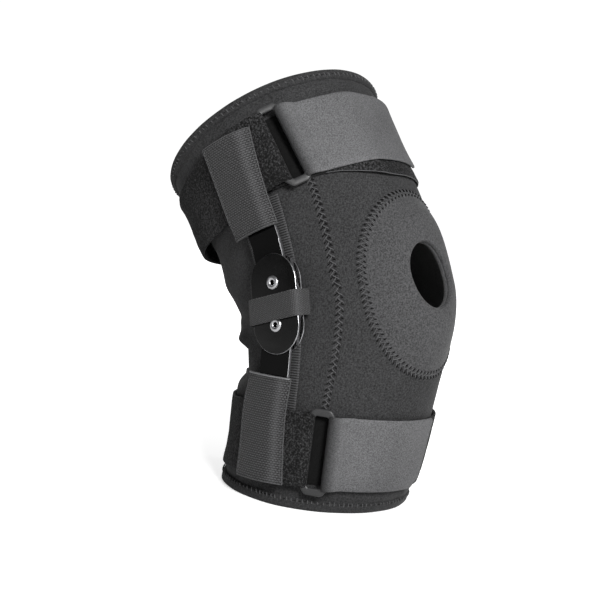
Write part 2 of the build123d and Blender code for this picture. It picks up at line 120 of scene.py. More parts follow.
# ---------------------------------------------------------------- the sleeve's surface
def station(along):
    """Centre y, centre z, tilt and three half-widths at a distance along the leg."""
    index = 0
    while index < len(STATIONS) - 2 and along > STATIONS[index + 1][0]:
        index += 1
    start, end = STATIONS[index], STATIONS[index + 1]
    before, after = STATIONS[max(index - 1, 0)], STATIONS[min(index + 2, len(STATIONS) - 1)]
    span = end[0] - start[0]
    t = (along - start[0]) / span
    row = []
    for c in range(1, 7):
        rise_in = (end[c] - before[c]) / (end[0] - before[0]) * span
        rise_out = (after[c] - start[c]) / (after[0] - start[0]) * span
        row.append((2 * t**3 - 3 * t**2 + 1) * start[c] + (t**3 - 2 * t**2 + t) * rise_in
                   + (3 * t**2 - 2 * t**3) * end[c] + (t**3 - t**2) * rise_out)
    return row


DENSE_ALONG = np.linspace(-12, SLEEVE_TOP + 12, 511)
DENSE_ROWS = np.array([station(along) for along in DENSE_ALONG])


def surf(along, angle, off=0.0):
    """Points on the sleeve: angle 0 is the front, 90 the right (-X) side, 180 the back."""
    along, angle, off = np.broadcast_arrays(np.asarray(along, float), angle, off)
    y, z, tilt, side, front, back = (np.interp(along, DENSE_ALONG, DENSE_ROWS[:, c]) for c in range(6))
    cosine, sine = np.cos(np.radians(angle)), np.sin(np.radians(angle))
    forward = (np.where(cosine > 0, front, back) + off) * cosine
    lean = np.radians(tilt)
    return np.stack([-(side + off) * sine, y - forward * np.cos(lean), z + forward * np.sin(lean)], -1)


def smooth(value, low, high):
    """Smooth step from 0 at low to 1 at high."""
    t = np.clip((np.asarray(value, float) - low) / (high - low), 0, 1)
    return t * t * (3 - 2 * t)


def signed_power(value, power):
    """Power of a sine or cosine with its sign kept, which squares off a round section."""
    return math.copysign(abs(value) ** power, value)


def fold_angle(angle):
    """Angle from the front, 0 to 180, on either side."""
    turned = np.mod(angle, 360)
    return np.minimum(turned, 360 - turned)


def signed_turn(angle):
    """Angle from the front, -180 to 180."""
    return np.mod(np.asarray(angle, float) + 180, 360) - 180


def ridge(along, angle, shape):
    """Height of a strap over the sleeve beside the ridge where it bends over an arm."""
    start, peak, peak_change, height, height_change, back_width = shape
    along = np.asarray(along, float) - start
    turn = fold_angle(angle) - peak - peak_change * along
    width = np.where(turn < 0, 18, back_width)
    return (height + height_change * along) * np.exp(-((turn / width) ** 2))


def calf_rise(along, angle):
    """How far the calf strap stands off the sleeve over the arms."""
    return ridge(along, angle, CALF_RIDGE)


def thigh_rise(along, angle):
    """How far the thigh strap stands off the sleeve: over the arms, and slack behind them."""
    low = 1 - smooth(along, THIGH_MID - STRAP_WIDTH / 2, THIGH_MID + STRAP_WIDTH / 2)
    slack = (2 + 5 * low) * np.exp(-(((fold_angle(angle) - 138) / 24) ** 2))
    turned = signed_turn(angle)
    crease = 1.5 * np.exp(-(((turned - 16) / 9) ** 2))
    return ridge(along, angle, THIGH_RIDGE) + slack + crease


def seam_angle(along):
    """Angle of the side seam between the front and back panels."""
    along = np.asarray(along, float)
    upper = 60 - 9 * np.clip((along - 130) / 58, 0, 1)
    lower = 60 - 2 * np.clip((130 - along) / 67, 0, 1)
    return np.where(along > 130, upper, lower)


def side_point(pivot, lean, up, forward):
    """(y, z) at distances up along and forwards across a bar."""
    a = math.radians(lean)
    return (pivot[1] + up * math.sin(a) - forward * math.cos(a),
            pivot[2] + up * math.cos(a) + forward * math.sin(a))


def from_side(y, z, off):
    """Distance along and angle on the right side of the point with that y and z."""
    y, z = np.broadcast_arrays(np.asarray(y, float), np.asarray(z, float))
    along = np.clip(z + 0.35 * np.clip(z - 95, 0, None), 5, 236)
    angle = np.full_like(along, 90.0)
    for _ in range(14):
        base = surf(along, angle, off)[..., 1:]
        d_along = (surf(along + 0.5, angle, off)[..., 1:] - base) / 0.5
        d_angle = (surf(along, angle + 0.5, off)[..., 1:] - base) / 0.5
        miss = np.stack([y, z], -1) - base
        det = d_along[..., 0] * d_angle[..., 1] - d_along[..., 1] * d_angle[..., 0]
        det = np.where(abs(det) < 1e-6, 1e-6, det)
        step_a = (miss[..., 0] * d_angle[..., 1] - miss[..., 1] * d_angle[..., 0]) / det
        step_b = (d_along[..., 0] * miss[..., 1] - d_along[..., 1] * miss[..., 0]) / det
        along = along + np.clip(step_a, -15, 15)
        angle = angle + np.clip(step_b, -12, 12)
    return along, angle


# ---------------------------------------------------------------- mesh helpers
def wobble(points, size, seed=0.0):
    """Smooth noise, -1 to 1, at points in millimetres, with features of that size."""
    shape = points.shape[:-1]
    flat = points.reshape(-1, 3) / size + seed
    return np.array([noise.noise(Vector(p)) for p in flat]).reshape(shape)


def new_piece(name, verts, faces, uvs, material):
    """Mesh object from points in millimetres, with per-vertex UVs in millimetres."""
    mesh = bpy.data.meshes.new(name)
    mesh.from_pydata([tuple(p) for p in np.asarray(verts) * MM], [], [tuple(f) for f in faces])
    mesh.update()
    layer = mesh.uv_layers.new(name="cloth")
    loops = np.zeros(len(mesh.loops), int)
    mesh.loops.foreach_get("vertex_index", loops)
    layer.data.foreach_set("uv", (np.asarray(uvs)[loops] * MM).ravel())
    mesh.shade_smooth()
    mesh.set_sharp_from_angle(angle=math.radians(50))
    piece = bpy.data.objects.new(name, mesh)
    bpy.context.scene.collection.objects.link(piece)
    piece.data.materials.append(material)
    return piece


def lattice_faces(rows, columns, close_rows=False, close_columns=False):
    """Quads of a grid of vertices stored row by row."""
    faces = []
    for r in range(rows if close_rows else rows - 1):
        for c in range(columns if close_columns else columns - 1):
            r2, c2 = (r + 1) % rows, (c + 1) % columns
            faces.append((r * columns + c, r * columns + c2, r2 * columns + c2, r2 * columns + c))
    return faces


def sweep(name, place, path, profile, material, closed=False):
    """Closed strip: place(s, v, h) puts the profile's (v, h) points at each s of the path."""
    s = np.asarray(path, float)[:, None]
    v = np.array([p[0] for p in profile])[None, :]
    h = np.array([p[1] for p in profile])[None, :]
    points = place(s, v, h)
    rows, columns = points.shape[:2]
    run = np.concatenate([[0], np.cumsum(np.linalg.norm(np.diff(points[:, 0], axis=0), axis=1))])
    uv = np.stack(np.broadcast_arrays(run[:, None], v + 0 * s), -1).reshape(-1, 2)
    faces = lattice_faces(rows, columns, closed, True)
    if not closed:
        faces += [tuple(range(columns))[::-1], tuple((rows - 1) * columns + c for c in range(columns))]
    return new_piece(name, points.reshape(-1, 3), faces, uv, material)


def band_profile(width, thick, across=14):
    """Rounded rectangle of (v, h) points, from h = 0 inside to h = thick outside."""
    half, r = width / 2, thick / 2
    points = [(v, 0) for v in np.linspace(-half + r, half - r, across)]
    points += [(half - r + r * math.sin(a), r - r * math.cos(a)) for a in np.linspace(0, math.pi, 7)[1:-1]]
    points += [(v, thick) for v in np.linspace(half - r, -half + r, across)]
    points += [(-half + r - r * math.sin(a), r + r * math.cos(a)) for a in np.linspace(0, math.pi, 7)[1:-1]]
    return points


def add_rod(verts, faces, line, radius, sides=6):
    """Adds a round-ended thread along a line of points to the lists."""
    line = [np.asarray(p, float) for p in line]
    count = len(line)
    base = len(verts)
    for i, p in enumerate(line):
        ahead = line[min(i + 1, count - 1)] - line[max(i - 1, 0)]
        ahead = ahead / (np.linalg.norm(ahead) + 1e-9)
        across = np.cross(ahead, (0.31, 0.87, 0.39))
        across = across / (np.linalg.norm(across) + 1e-9)
        other = np.cross(ahead, across)
        r = radius * (0.45 if i in (0, count - 1) else 1)
        for k in range(sides):
            a = 2 * math.pi * k / sides
            verts.append(p + r * (math.cos(a) * across + math.sin(a) * other))
    for i in range(count - 1):
        for k in range(sides):
            k2 = (k + 1) % sides
            faces.append((base + i * sides + k, base + i * sides + k2,
                          base + (i + 1) * sides + k2, base + (i + 1) * sides + k))
    faces.append(tuple(base + k for k in range(sides))[::-1])
    faces.append(tuple(base + (count - 1) * sides + k for k in range(sides)))


def thread_piece(name, lines, radius, material):
    """One mesh of separate threads, each along its own line of points."""
    verts, faces = [], []
    for line in lines:
        add_rod(verts, faces, line, radius)
    return new_piece(name, verts, faces, np.zeros((len(verts), 2)), material)


def mirrored(piece, name):
    """Copy of a piece on the other side of the leg."""
    mesh = piece.data.copy()
    mesh.transform(Matrix.Scale(-1, 4, (1, 0, 0)))
    mesh.flip_normals()
    other = bpy.data.objects.new(name, mesh)
    bpy.context.scene.collection.objects.link(other)
    return other


# ---------------------------------------------------------------- materials
def tree_of(name):
    """New material, its node tree and its Principled shader."""
    material = bpy.data.materials.new(name)
    material.use_nodes = True
    tree = material.node_tree
    shader = tree.nodes["Principled BSDF"]
    return material, tree, shader


def math_node(tree, operation, a, b=0.0):
    """Math node with sockets or numbers as its inputs."""
    node = tree.nodes.new("ShaderNodeMath")
    node.operation = operation
    for index, value in enumerate((a, b)):
        if isinstance(value, (int, float)):
            node.inputs[index].default_value = value
        else:
            tree.links.new(value, node.inputs[index])
    return node.outputs[0]


def place_of(tree):
    """Position on the object, in metres."""
    return tree.nodes.new("ShaderNodeTexCoord").outputs["Object"]


def cloth_axes(tree):
    """Distances along and across a strip, in metres."""
    split = tree.nodes.new("ShaderNodeSeparateXYZ")
    tree.links.new(tree.nodes.new("ShaderNodeTexCoord").outputs["UV"], split.inputs[0])
    return split.outputs


def wave_node(tree, value):
    """Rounded ribs, one for each whole step of the value."""
    return math_node(tree, "ABSOLUTE", math_node(tree, "SINE", math_node(tree, "MULTIPLY", value, math.pi)))


def centred(tree, factor, amount):
    """Noise factor as a change of up to half the amount either way."""
    return math_node(tree, "MULTIPLY", math_node(tree, "SUBTRACT", factor, 0.5), amount)


def noise_node(tree, vector, scale, detail=3.0, rough=0.6):
    """Noise factor at a scale, in features per metre."""
    node = tree.nodes.new("ShaderNodeTexNoise")
    node.inputs["Scale"].default_value = scale
    node.inputs["Detail"].default_value = detail
    node.inputs["Roughness"].default_value = rough
    tree.links.new(vector, node.inputs["Vector"])
    return node.outputs[0]


def ramp_node(tree, factor, stops):
    """Colour ramp from (position, grey) stops."""
    node = tree.nodes.new("ShaderNodeValToRGB")
    while len(node.color_ramp.elements) < len(stops):
        node.color_ramp.elements.new(0.5)
    for element, (position, grey) in zip(node.color_ramp.elements, stops):
        element.position = position
        element.color = (grey, grey, grey * 1.03, 1)
    tree.links.new(factor, node.inputs[0])
    return node.outputs[0]


def bump_node(tree, height, strength, distance):
    """Bump of a height field; distance is in millimetres."""
    node = tree.nodes.new("ShaderNodeBump")
    node.inputs["Strength"].default_value = strength
    node.inputs["Distance"].default_value = distance * MM
    tree.links.new(height, node.inputs["Height"])
    return node.outputs[0]


def fabric(name, dark, light, grain, bump, rough=0.85, sheen=0.25, broad=0.12, low=0.34, high=0.66):
    """Knitted or brushed cloth: fine grain in colour and height, with broad soft variation."""
    material, tree, shader = tree_of(name)
    where = place_of(tree)
    fine = noise_node(tree, where, grain, 2.5, 0.7)
    wide = noise_node(tree, where, 28, 2.0, 0.5)
    mixed = math_node(tree, "ADD", fine, centred(tree, wide, broad))
    tree.links.new(ramp_node(tree, mixed, [(low, dark), (high, light)]), shader.inputs["Base Color"])
    tree.links.new(bump_node(tree, fine, 0.8, bump), shader.inputs["Normal"])
    shader.inputs["Roughness"].default_value = rough
    shader.inputs["Sheen Weight"].default_value = sheen
    shader.inputs["Sheen Roughness"].default_value = 0.5
    shader.inputs["Specular IOR Level"].default_value = 0.3
    return material


def fold_shaded_fabric(name, dark, light, start, length):
    """Smooth strap cloth with painted shade round its fold: dark there, and its own colour again past start
    + length (m) along it.
    """
    material = fabric(name, dark, light, 1300, 0.14, rough=0.65, sheen=0.05, broad=0.2)
    tree = material.node_tree
    base = next(n for n in tree.nodes if n.type == "BSDF_PRINCIPLED").inputs["Base Color"]
    past = math_node(tree, "DIVIDE", math_node(tree, "SUBTRACT", cloth_axes(tree)[0], start), length)
    share = math_node(tree, "MINIMUM", math_node(tree, "MAXIMUM", past, 0.06), 1.0)
    # Scales the cloth colour down towards the fold: painted shade.
    fold_shade = tree.nodes.new("ShaderNodeVectorMath")
    fold_shade.operation = "SCALE"
    tree.links.new(base.links[0].from_socket, fold_shade.inputs[0])
    tree.links.new(share, fold_shade.inputs["Scale"])
    tree.links.new(fold_shade.outputs[0], base)
    return material


def woven(name, dark, light, dash, row, bump, rough=0.75, edge=0.0, edge_axis=1):
    """Ribbed cloth: rows of offset dashes that run across the strip; edge lightens a stripe of it, which on
    the keeper webbing is a painted highlight.
    """
    material, tree, shader = tree_of(name)
    axes = cloth_axes(tree)
    along = math_node(tree, "DIVIDE", axes[0], row * MM)
    across = math_node(tree, "DIVIDE", axes[1], dash * MM)
    offset = math_node(tree, "MULTIPLY", math_node(tree, "FLOOR", along), 0.5)
    dashes = math_node(tree, "POWER", wave_node(tree, math_node(tree, "ADD", across, offset)), 0.5)
    rows = math_node(tree, "POWER", wave_node(tree, along), 0.8)
    height = math_node(tree, "MULTIPLY", dashes, rows)
    grain = noise_node(tree, place_of(tree), 1400, 2.0, 0.6)
    tone = math_node(tree, "ADD", height, centred(tree, grain, 0.8))
    away = math_node(tree, "ABSOLUTE", math_node(tree, "SUBTRACT", axes[edge_axis], edge * MM))
    faded = math_node(tree, "MINIMUM", math_node(tree, "DIVIDE", away, 5 * MM), 1.0)
    stripe = math_node(tree, "MULTIPLY", math_node(tree, "SUBTRACT", 1.0, faded), 0.45)
    tone = math_node(tree, "MULTIPLY", math_node(tree, "ADD", tone, stripe), 0.7)
    tree.links.new(ramp_node(tree, tone, [(0.22, dark), (0.8, light)]), shader.inputs["Base Color"])
    tree.links.new(bump_node(tree, height, 0.9, bump), shader.inputs["Normal"])
    shader.inputs["Roughness"].default_value = rough
    shader.inputs["Sheen Weight"].default_value = 0.15
    return material


def ladder(name, dark, light, pitch):
    """Tape with light ribs straight across it and a light thread along each edge."""
    material, tree, shader = tree_of(name)
    axes = cloth_axes(tree)
    rib = wave_node(tree, math_node(tree, "DIVIDE", axes[0], pitch * MM))
    grain = noise_node(tree, place_of(tree), 1600, 2.0, 0.6)
    tone = math_node(tree, "ADD", rib, centred(tree, grain, 0.9))
    edge = math_node(tree, "GREATER_THAN", math_node(tree, "ABSOLUTE", axes[1]), 13.9 * MM)
    tone = math_node(tree, "ADD", tone, math_node(tree, "MULTIPLY", edge, 0.35))
    tree.links.new(ramp_node(tree, tone, [(0.45, dark), (1.15, light)]), shader.inputs["Base Color"])
    tree.links.new(bump_node(tree, rib, 0.9, 0.2), shader.inputs["Normal"])
    shader.inputs["Roughness"].default_value = 0.8
    return material


def coated_metal(name, grey, rough, scratch, gloss):
    """Gloss coat over steel, with faint scuffs in its roughness and height."""
    material, tree, shader = tree_of(name)
    where = place_of(tree)
    peel = noise_node(tree, where, 260, 2.0, 0.5)
    scuff = noise_node(tree, where, 60, 4.0, 0.7)
    shader.inputs["Base Color"].default_value = (grey, grey, grey * 1.03, 1)
    low = ramp_node(tree, scuff, [(0.35, rough), (0.75, rough + scratch)])
    tree.links.new(low, shader.inputs["Roughness"])
    tree.links.new(bump_node(tree, peel, 0.15, 0.05), shader.inputs["Normal"])
    shader.inputs["Specular IOR Level"].default_value = gloss
    return material


def bright_metal(name, dark, light, rough):
    """Bare or plated steel with fine handling marks."""
    material, tree, shader = tree_of(name)
    where = place_of(tree)
    marks = noise_node(tree, where, 420, 2.0, 0.5)
    shader.inputs["Metallic"].default_value = 1.0
    tree.links.new(ramp_node(tree, marks, [(0.3, dark), (0.7, light)]), shader.inputs["Base Color"])
    tree.links.new(ramp_node(tree, marks, [(0.3, rough), (0.8, rough + 0.06)]), shader.inputs["Roughness"])
    return material


def moulded(name, grey, rough):
    """Moulded nylon with a fine spark-eroded texture."""
    material, tree, shader = tree_of(name)
    where = place_of(tree)
    grain = noise_node(tree, where, 2200, 2.0, 0.5)
    stops = [(0.3, grey * 0.85), (0.7, grey * 1.15)]
    tree.links.new(ramp_node(tree, grain, stops), shader.inputs["Base Color"])
    tree.links.new(bump_node(tree, grain, 0.35, 0.05), shader.inputs["Normal"])
    shader.inputs["Roughness"].default_value = rough
    return material


def plain_stage(name, grey):
    """Pale floor that keeps its shadows near the brace and fades to the studio white further out."""
    material, tree, shader = tree_of(name)
    shader.inputs["Base Color"].default_value = (grey, grey, grey, 1)
    shader.inputs["Roughness"].default_value = 0.9
    shader.inputs["Emission Color"].default_value = (1, 1, 1, 1)
    away = tree.nodes.new("ShaderNodeVectorMath")
    away.operation = "LENGTH"
    tree.links.new(place_of(tree), away.inputs[0])
    near = math_node(tree, "MINIMUM", math_node(tree, "MULTIPLY", away.outputs["Value"], 0.9), 0.5)
    glow = math_node(tree, "ADD", near, 0.55)
    ray = tree.nodes.new("ShaderNodeLightPath").outputs["Is Camera Ray"]
    tree.links.new(math_node(tree, "MULTIPLY", ray, glow), shader.inputs["Emission Strength"])
    return material


NEO = fabric("neoprene_jersey", 0.010, 0.047, 1000, 0.22, sheen=0.05)
PANEL = fabric("kneecap_jersey", 0.024, 0.085, 1000, 0.22, sheen=0.1)
HEM_CLOTH = fabric("hem_jersey", 0.010, 0.04, 1000, 0.25, sheen=0.05)
STRAP_FACE = fabric("strap_smooth_face", 0.052, 0.148, 1300, 0.14, rough=0.65, sheen=0.05, broad=0.2)
# Strap turn face darkened round its fold over the ring's front bar: painted shade.
FOLD_SHADED_FACE = fold_shaded_fabric("strap_face_painted_fold_shade", 0.052, 0.148, 0.0145, 0.009)
PILE = fabric("strap_loop_pile", 0.001, 0.075, 900, 0.8,
              rough=0.95, sheen=0.02, broad=0.2, low=0.46, high=0.8)
# Near-black cloth for the sheets under the ring slots: painted shadow.
SLOT_SHADOW = fabric("ring_backing", 0.0005, 0.003, 1200, 0.1, rough=0.95, sheen=0.0)
ELASTIC = woven("ribbed_elastic", 0.002, 0.085, 2.1, 1.35, 0.4, edge=11.5)
TAPE = ladder("ribbed_tape", 0.004, 0.06, 1.4)
# The stripe lightened 48 mm along the keeper, where it turns round the front edge of the plates, is a
# painted highlight.
WEBBING = woven("keeper_webbing", 0.006, 0.07, 1.3, 1.1, 0.3, edge=48.0, edge_axis=0)
THREAD = fabric("thread", 0.045, 0.1, 1800, 0.05, rough=0.7, sheen=0.1)
EDGE_THREAD = fabric("edge_thread", 0.12, 0.26, 1800, 0.05, rough=0.7, sheen=0.1)
# Near-black cloth for needle holes and stitch dents: painted shade in those recesses.
NEEDLE_HOLE_SHADE = fabric("needle_hole_shade", 0.0005, 0.002, 1800, 0.05, rough=0.9, sheen=0.0)
HOOK = fabric("hook_tape", 0.01, 0.04, 1400, 0.4, rough=0.6)
LINING = fabric("inner_lining", 0.02, 0.04, 900, 0.15)
GLOSS_BLACK = coated_metal("gloss_black_plate", 0.003, 0.14, 0.2, 0.3)
ARM_BLACK = coated_metal("gloss_black_arm", 0.002, 0.12, 0.15, 0.12)
# Bright metal on the forward-facing edges of the plates and arms: painted highlight standing in for their
# reflections.
EDGE_HIGHLIGHT = bright_metal("edge_painted_highlight", 0.5, 0.7, 0.3)
NICKEL = bright_metal("nickel_rivet", 0.6, 0.72, 0.32)
NYLON = moulded("ring_nylon", 0.032, 0.45)
ACETAL = moulded("washer_acetal", 0.6, 0.4)


# ---------------------------------------------------------------- sleeve
def patella_radius(along, angle):
    """1 on the oval seam round the kneecap panel, 0 at its middle."""
    turn = signed_turn(angle) / PATELLA_HALF_ANGLE
    return np.hypot((np.asarray(along, float) - SPLIT) / PATELLA_HALF_LENGTH, turn)


def back_radius(along, angle):
    """1 on the edge of the opening behind the knee, a rounded slot seen from behind."""
    p = surf(along, angle)
    ahead = np.cos(np.radians(angle)) > 0.2
    across = abs(p[..., 0]) / BACK_OPENING[0]
    r = (across**3 + abs((p[..., 2] - BACK_OPENING_Z) / BACK_OPENING[1]) ** 3) ** (1 / 3)
    return np.where(ahead, 9.0, r)


def sleeve_relief(along, angle):
    """Height of the sleeve's outer face over its plain shape: seams, puffing and soft wrinkles."""
    points = surf(along, angle)
    turn = fold_angle(angle)
    gap = (turn - seam_angle(along)) * SLEEVE_ARC
    relief = -1.1 * np.exp(-((gap / 0.8) ** 2)) + 0.5 * np.exp(-((gap / 4.0) ** 2))
    relief += 0.6 * wobble(points * np.array([1, 1, 0.6]), 26) + 0.25 * wobble(points, 9, 3.7)
    behind = smooth(turn, 105, 145) * smooth(along, 100, 118) * (1 - smooth(along, 150, 182))
    relief += behind * (4.4 + 0.5 * np.sin(along / 5.5 + 1.2 * wobble(points, 34, 8.1)))
    over = points[..., 2] - BACK_OPENING_Z
    rear = smooth(turn, 108, 134)
    lip = 3.4 * np.exp(-(((over - 9) / 5.5) ** 2)) - 1.8 * np.exp(-(((over - 22) / 5) ** 2))
    tuck = 4.5 * np.exp(-(((along - 72) / 6) ** 2))
    edges = np.exp(-(((along - HEM) / 2.2) ** 2)) + np.exp(-(((along - SLEEVE_TOP + HEM) / 2.2) ** 2))
    return relief + rear * (lip - tuck) - 0.9 * edges


def sleeve_half(name, start, end):
    """Wall of the sleeve between two distances along the leg, with its openings cut out."""
    rows = int(abs(end - start) / 1.5) + 1
    columns = 270
    along = np.linspace(start, end, rows)[:, None] + np.zeros((1, columns))
    angle = 180 + np.linspace(0, 360, columns, endpoint=False)[None, :] + np.zeros((rows, 1))
    inside_oval = patella_radius(along, angle) < 0.93
    along, angle = pull_to_edge(along, angle, back_radius)
    inside_back = back_radius(along, angle) < 0.985
    relief = sleeve_relief(along, angle) * smooth(patella_radius(along, angle), 0.85, 1.3)
    outer = surf(along, angle, relief)
    inner = surf(along, angle, -NEOPRENE)
    gone = inside_oval | inside_back
    return wall_piece(name, outer, inner, gone, along, angle, end > start)


def pull_to_edge(along, angle, radius_of):
    """Slides the grid points nearest to an opening's edge onto that edge."""
    for _ in range(6):
        r = radius_of(along, angle)
        near = abs(r - 1) < 0.11
        step = 0.25
        grow_along = (radius_of(along + step, angle) - r) / step
        grow_angle = (radius_of(along, angle + step) - r) / step
        size = grow_along**2 + grow_angle**2 + 1e-9
        pull = np.where(near, (1 - r), 0)
        along = along + np.clip(pull * grow_along / size, -1.2, 1.2)
        angle = angle + np.clip(pull * grow_angle / size, -1.2, 1.2)
    return along, angle


def wall_piece(name, outer, inner, gone, along, angle, upward):
    """Double-sided wall from two grids, without the faces whose corners are all gone."""
    rows, columns = gone.shape
    total = rows * columns
    faces = []
    edges = {}
    for r in range(rows - 1):
        for c in range(columns):
            c2 = (c + 1) % columns
            corners = (r * columns + c, r * columns + c2, (r + 1) * columns + c2, (r + 1) * columns + c)
            if sum(bool(gone.flat[i]) for i in corners) > 0:
                continue
            faces.append(corners)
            for a, b in zip(corners, corners[1:] + corners[:1]):
                edges[(a, b)] = True
    rim = []
    for a, b in edges:
        on_split = a < columns and b < columns
        if (b, a) not in edges and not on_split:
            rim.append((b, a, a + total, b + total))
    front_count = len(faces)
    back = [tuple(i + total for i in reversed(f)) for f in faces]
    verts = np.concatenate([outer.reshape(-1, 3), inner.reshape(-1, 3)])
    uv = np.stack([angle * SLEEVE_ARC, along], -1).reshape(-1, 2)
    faces = faces + back + rim
    used = sorted({i for f in faces for i in f})
    index = {old: new for new, old in enumerate(used)}
    faces = [tuple(index[i] for i in f) for f in faces]
    if not upward:
        faces = [f[::-1] for f in faces]
    piece = new_piece(name, verts[used], faces, np.concatenate([uv, uv])[used], NEO)
    piece.data.materials.append(LINING)
    for polygon in piece.data.polygons[front_count:2 * front_count]:
        polygon.material_index = 1
    return piece


LOWER_BEND = ("shin", "hinge_covers", 6, 67, 101)
UPPER_BEND = ("hinge_covers", "thigh", 26, 117, 154)


def bend(piece, spec):
    """Bakes a piece's placement into its mesh and does not bend it; the bodies, lean and stretch in spec are
    not used.
    """
    first, second, lean, start, end = spec
    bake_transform(piece)


def bend_lower(piece):
    """Hands a piece to bend with the spec for the shin and the hinge covers; it is baked in place, not bent.
    """
    bend(piece, LOWER_BEND)


def bend_upper(piece):
    """Hands a piece to bend with the spec for the hinge covers and the thigh; it is baked in place, not
    bent.
    """
    bend(piece, UPPER_BEND)


def build_sleeve():
    """Both halves of the sleeve wall."""
    lower = sleeve_half("sleeve_lower", SPLIT, HEM - 1.5)
    bend_lower(lower)
    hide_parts("shin_front_panel", "shin_back_panel")
    upper = sleeve_half("sleeve_upper", SPLIT, SLEEVE_TOP - HEM + 1.5)
    bend_upper(upper)
    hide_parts("thigh_front_panel", "thigh_back_panel", "knee_front_panel", "knee_back_panel")


def patella_height(share, turn):
    """Height of the kneecap panel's face, from its hole (share 0) out to its seam (share 1)."""
    dome = (1.9 - 0.5 * np.sin(turn)) * (1 - smooth(share, 0.2, 1.0)) + 0.7
    brow = 2.6 * np.clip(np.sin(turn), 0, 1) * np.exp(-(((share - 0.55) / 0.3) ** 2))
    return dome + brow - 1.5 * smooth(share, 0.94, 1.0)


RIM = [(0.07, 0.0), (0.035, -0.12), (0.012, -0.55), (0, -1.3), (0, -2.7), (0.014, -3.05), (0.014, -3.35),
       (-0.004, -3.7), (-0.008, -4.6), (0.004, -5.6), (0.03, -6.1), (0.08, -6.2)]


PANEL_DEPTH = 6.2
INNER_FACE = 1.0


def patella_half(name, start_turn, end_turn):
    """Half of the padded kneecap panel, from its seam in to the two-layer rim of its hole and back out."""
    turns = np.radians(np.linspace(start_turn, end_turn, 121))[None, :]
    outer = [(share, 0.0) for share in list(np.linspace(1, 0.9, 7)) + list(np.linspace(0.9, 0.1, 24)[1:])]
    inner = [(share, INNER_FACE) for share in np.linspace(0.16, 1, 12)]
    rows = []
    for share, drop in outer + RIM + inner:
        half_angle = HOLE_HALF_ANGLE + (PATELLA_HALF_ANGLE - HOLE_HALF_ANGLE) * share
        half_along = HOLE_HALF_LENGTH + (PATELLA_HALF_LENGTH - HOLE_HALF_LENGTH) * share
        height = patella_height(np.full_like(turns, share), turns) + drop
        if drop == INNER_FACE:
            top = patella_height(np.full_like(turns, share), turns) - PANEL_DEPTH
            height = top + (-NEOPRENE - top) * smooth(share, 0.25, 0.6)
        inward = 1 - share
        rows.append(surf(SPLIT + HOLE_RISE * inward + half_along * np.sin(turns),
                         HOLE_ANGLE * inward + half_angle * np.cos(turns), height)[0])
    ring = np.array(rows)
    count, columns = ring.shape[:2]
    uv = np.stack(np.broadcast_arrays(np.degrees(turns) * 0.8, np.arange(count)[:, None] * 1.2), -1)
    faces = lattice_faces(count, columns, True, False)
    return new_piece(name, ring.reshape(-1, 3), faces, uv.reshape(-1, 2), PANEL)


def build_patella():
    """Both halves of the kneecap panel."""
    upper = patella_half("patella_panel_upper", 0, 180)
    bend_upper(upper)
    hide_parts("patella_panel")
    lower = patella_half("patella_panel_lower", 180, 360)
    bend_lower(lower)
    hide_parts("patella_buttress")


def build_hem(name, low, high, body, node):
    """Folded hem: a soft rounded band with an outer lap."""
    profile = []
    half = (high - low) / 2
    for k in range(20):
        a = 2 * math.pi * k / 20
        profile.append((half * signed_power(math.cos(a), 0.6), -1.5 + 2.4 * signed_power(math.sin(a), 0.7)))
    middle = (low + high) / 2

    def place(s, v, h):
        """Point of the hem at an angle, across it and outwards."""
        points = surf(middle + v, s, h)
        return surf(middle + v, s, h + 0.35 * wobble(points, 14, 1.3))

    hem = sweep(name, place, np.linspace(0, 360, 240, endpoint=False), profile, HEM_CLOTH, closed=True)
    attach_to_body(hem, body)
    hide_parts(node)


# ---------------------------------------------------------------- straps and rings
class Ring:
    """Axes and centre of a strap ring, from its CAD box and joints."""

    def __init__(self, name):
        """Reads the ring's box and its swing joint from the frame."""
        low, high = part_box(f"{name}_ring")
        self.centre = np.array((low + high) / 2) / MM
        swing = JOINTS[f"{name}_ring_swing"]
        rear = np.array(swing["pos_m"]) / MM
        self.up = -np.array(swing["axis"])
        ahead = self.centre - rear
        ahead -= self.up * (ahead @ self.up)
        self.half = np.linalg.norm(ahead)
        self.ahead = ahead / self.half
        self.out = np.cross(self.ahead, self.up)
        self.centre = rear + self.ahead * self.half

    def point(self, x, y, z):
        """Point from local distances ahead, up and outwards."""
        x, y, z = np.broadcast_arrays(np.asarray(x, float), y, z)
        return (self.centre + x[..., None] * self.ahead + y[..., None] * self.up + z[..., None] * self.out)


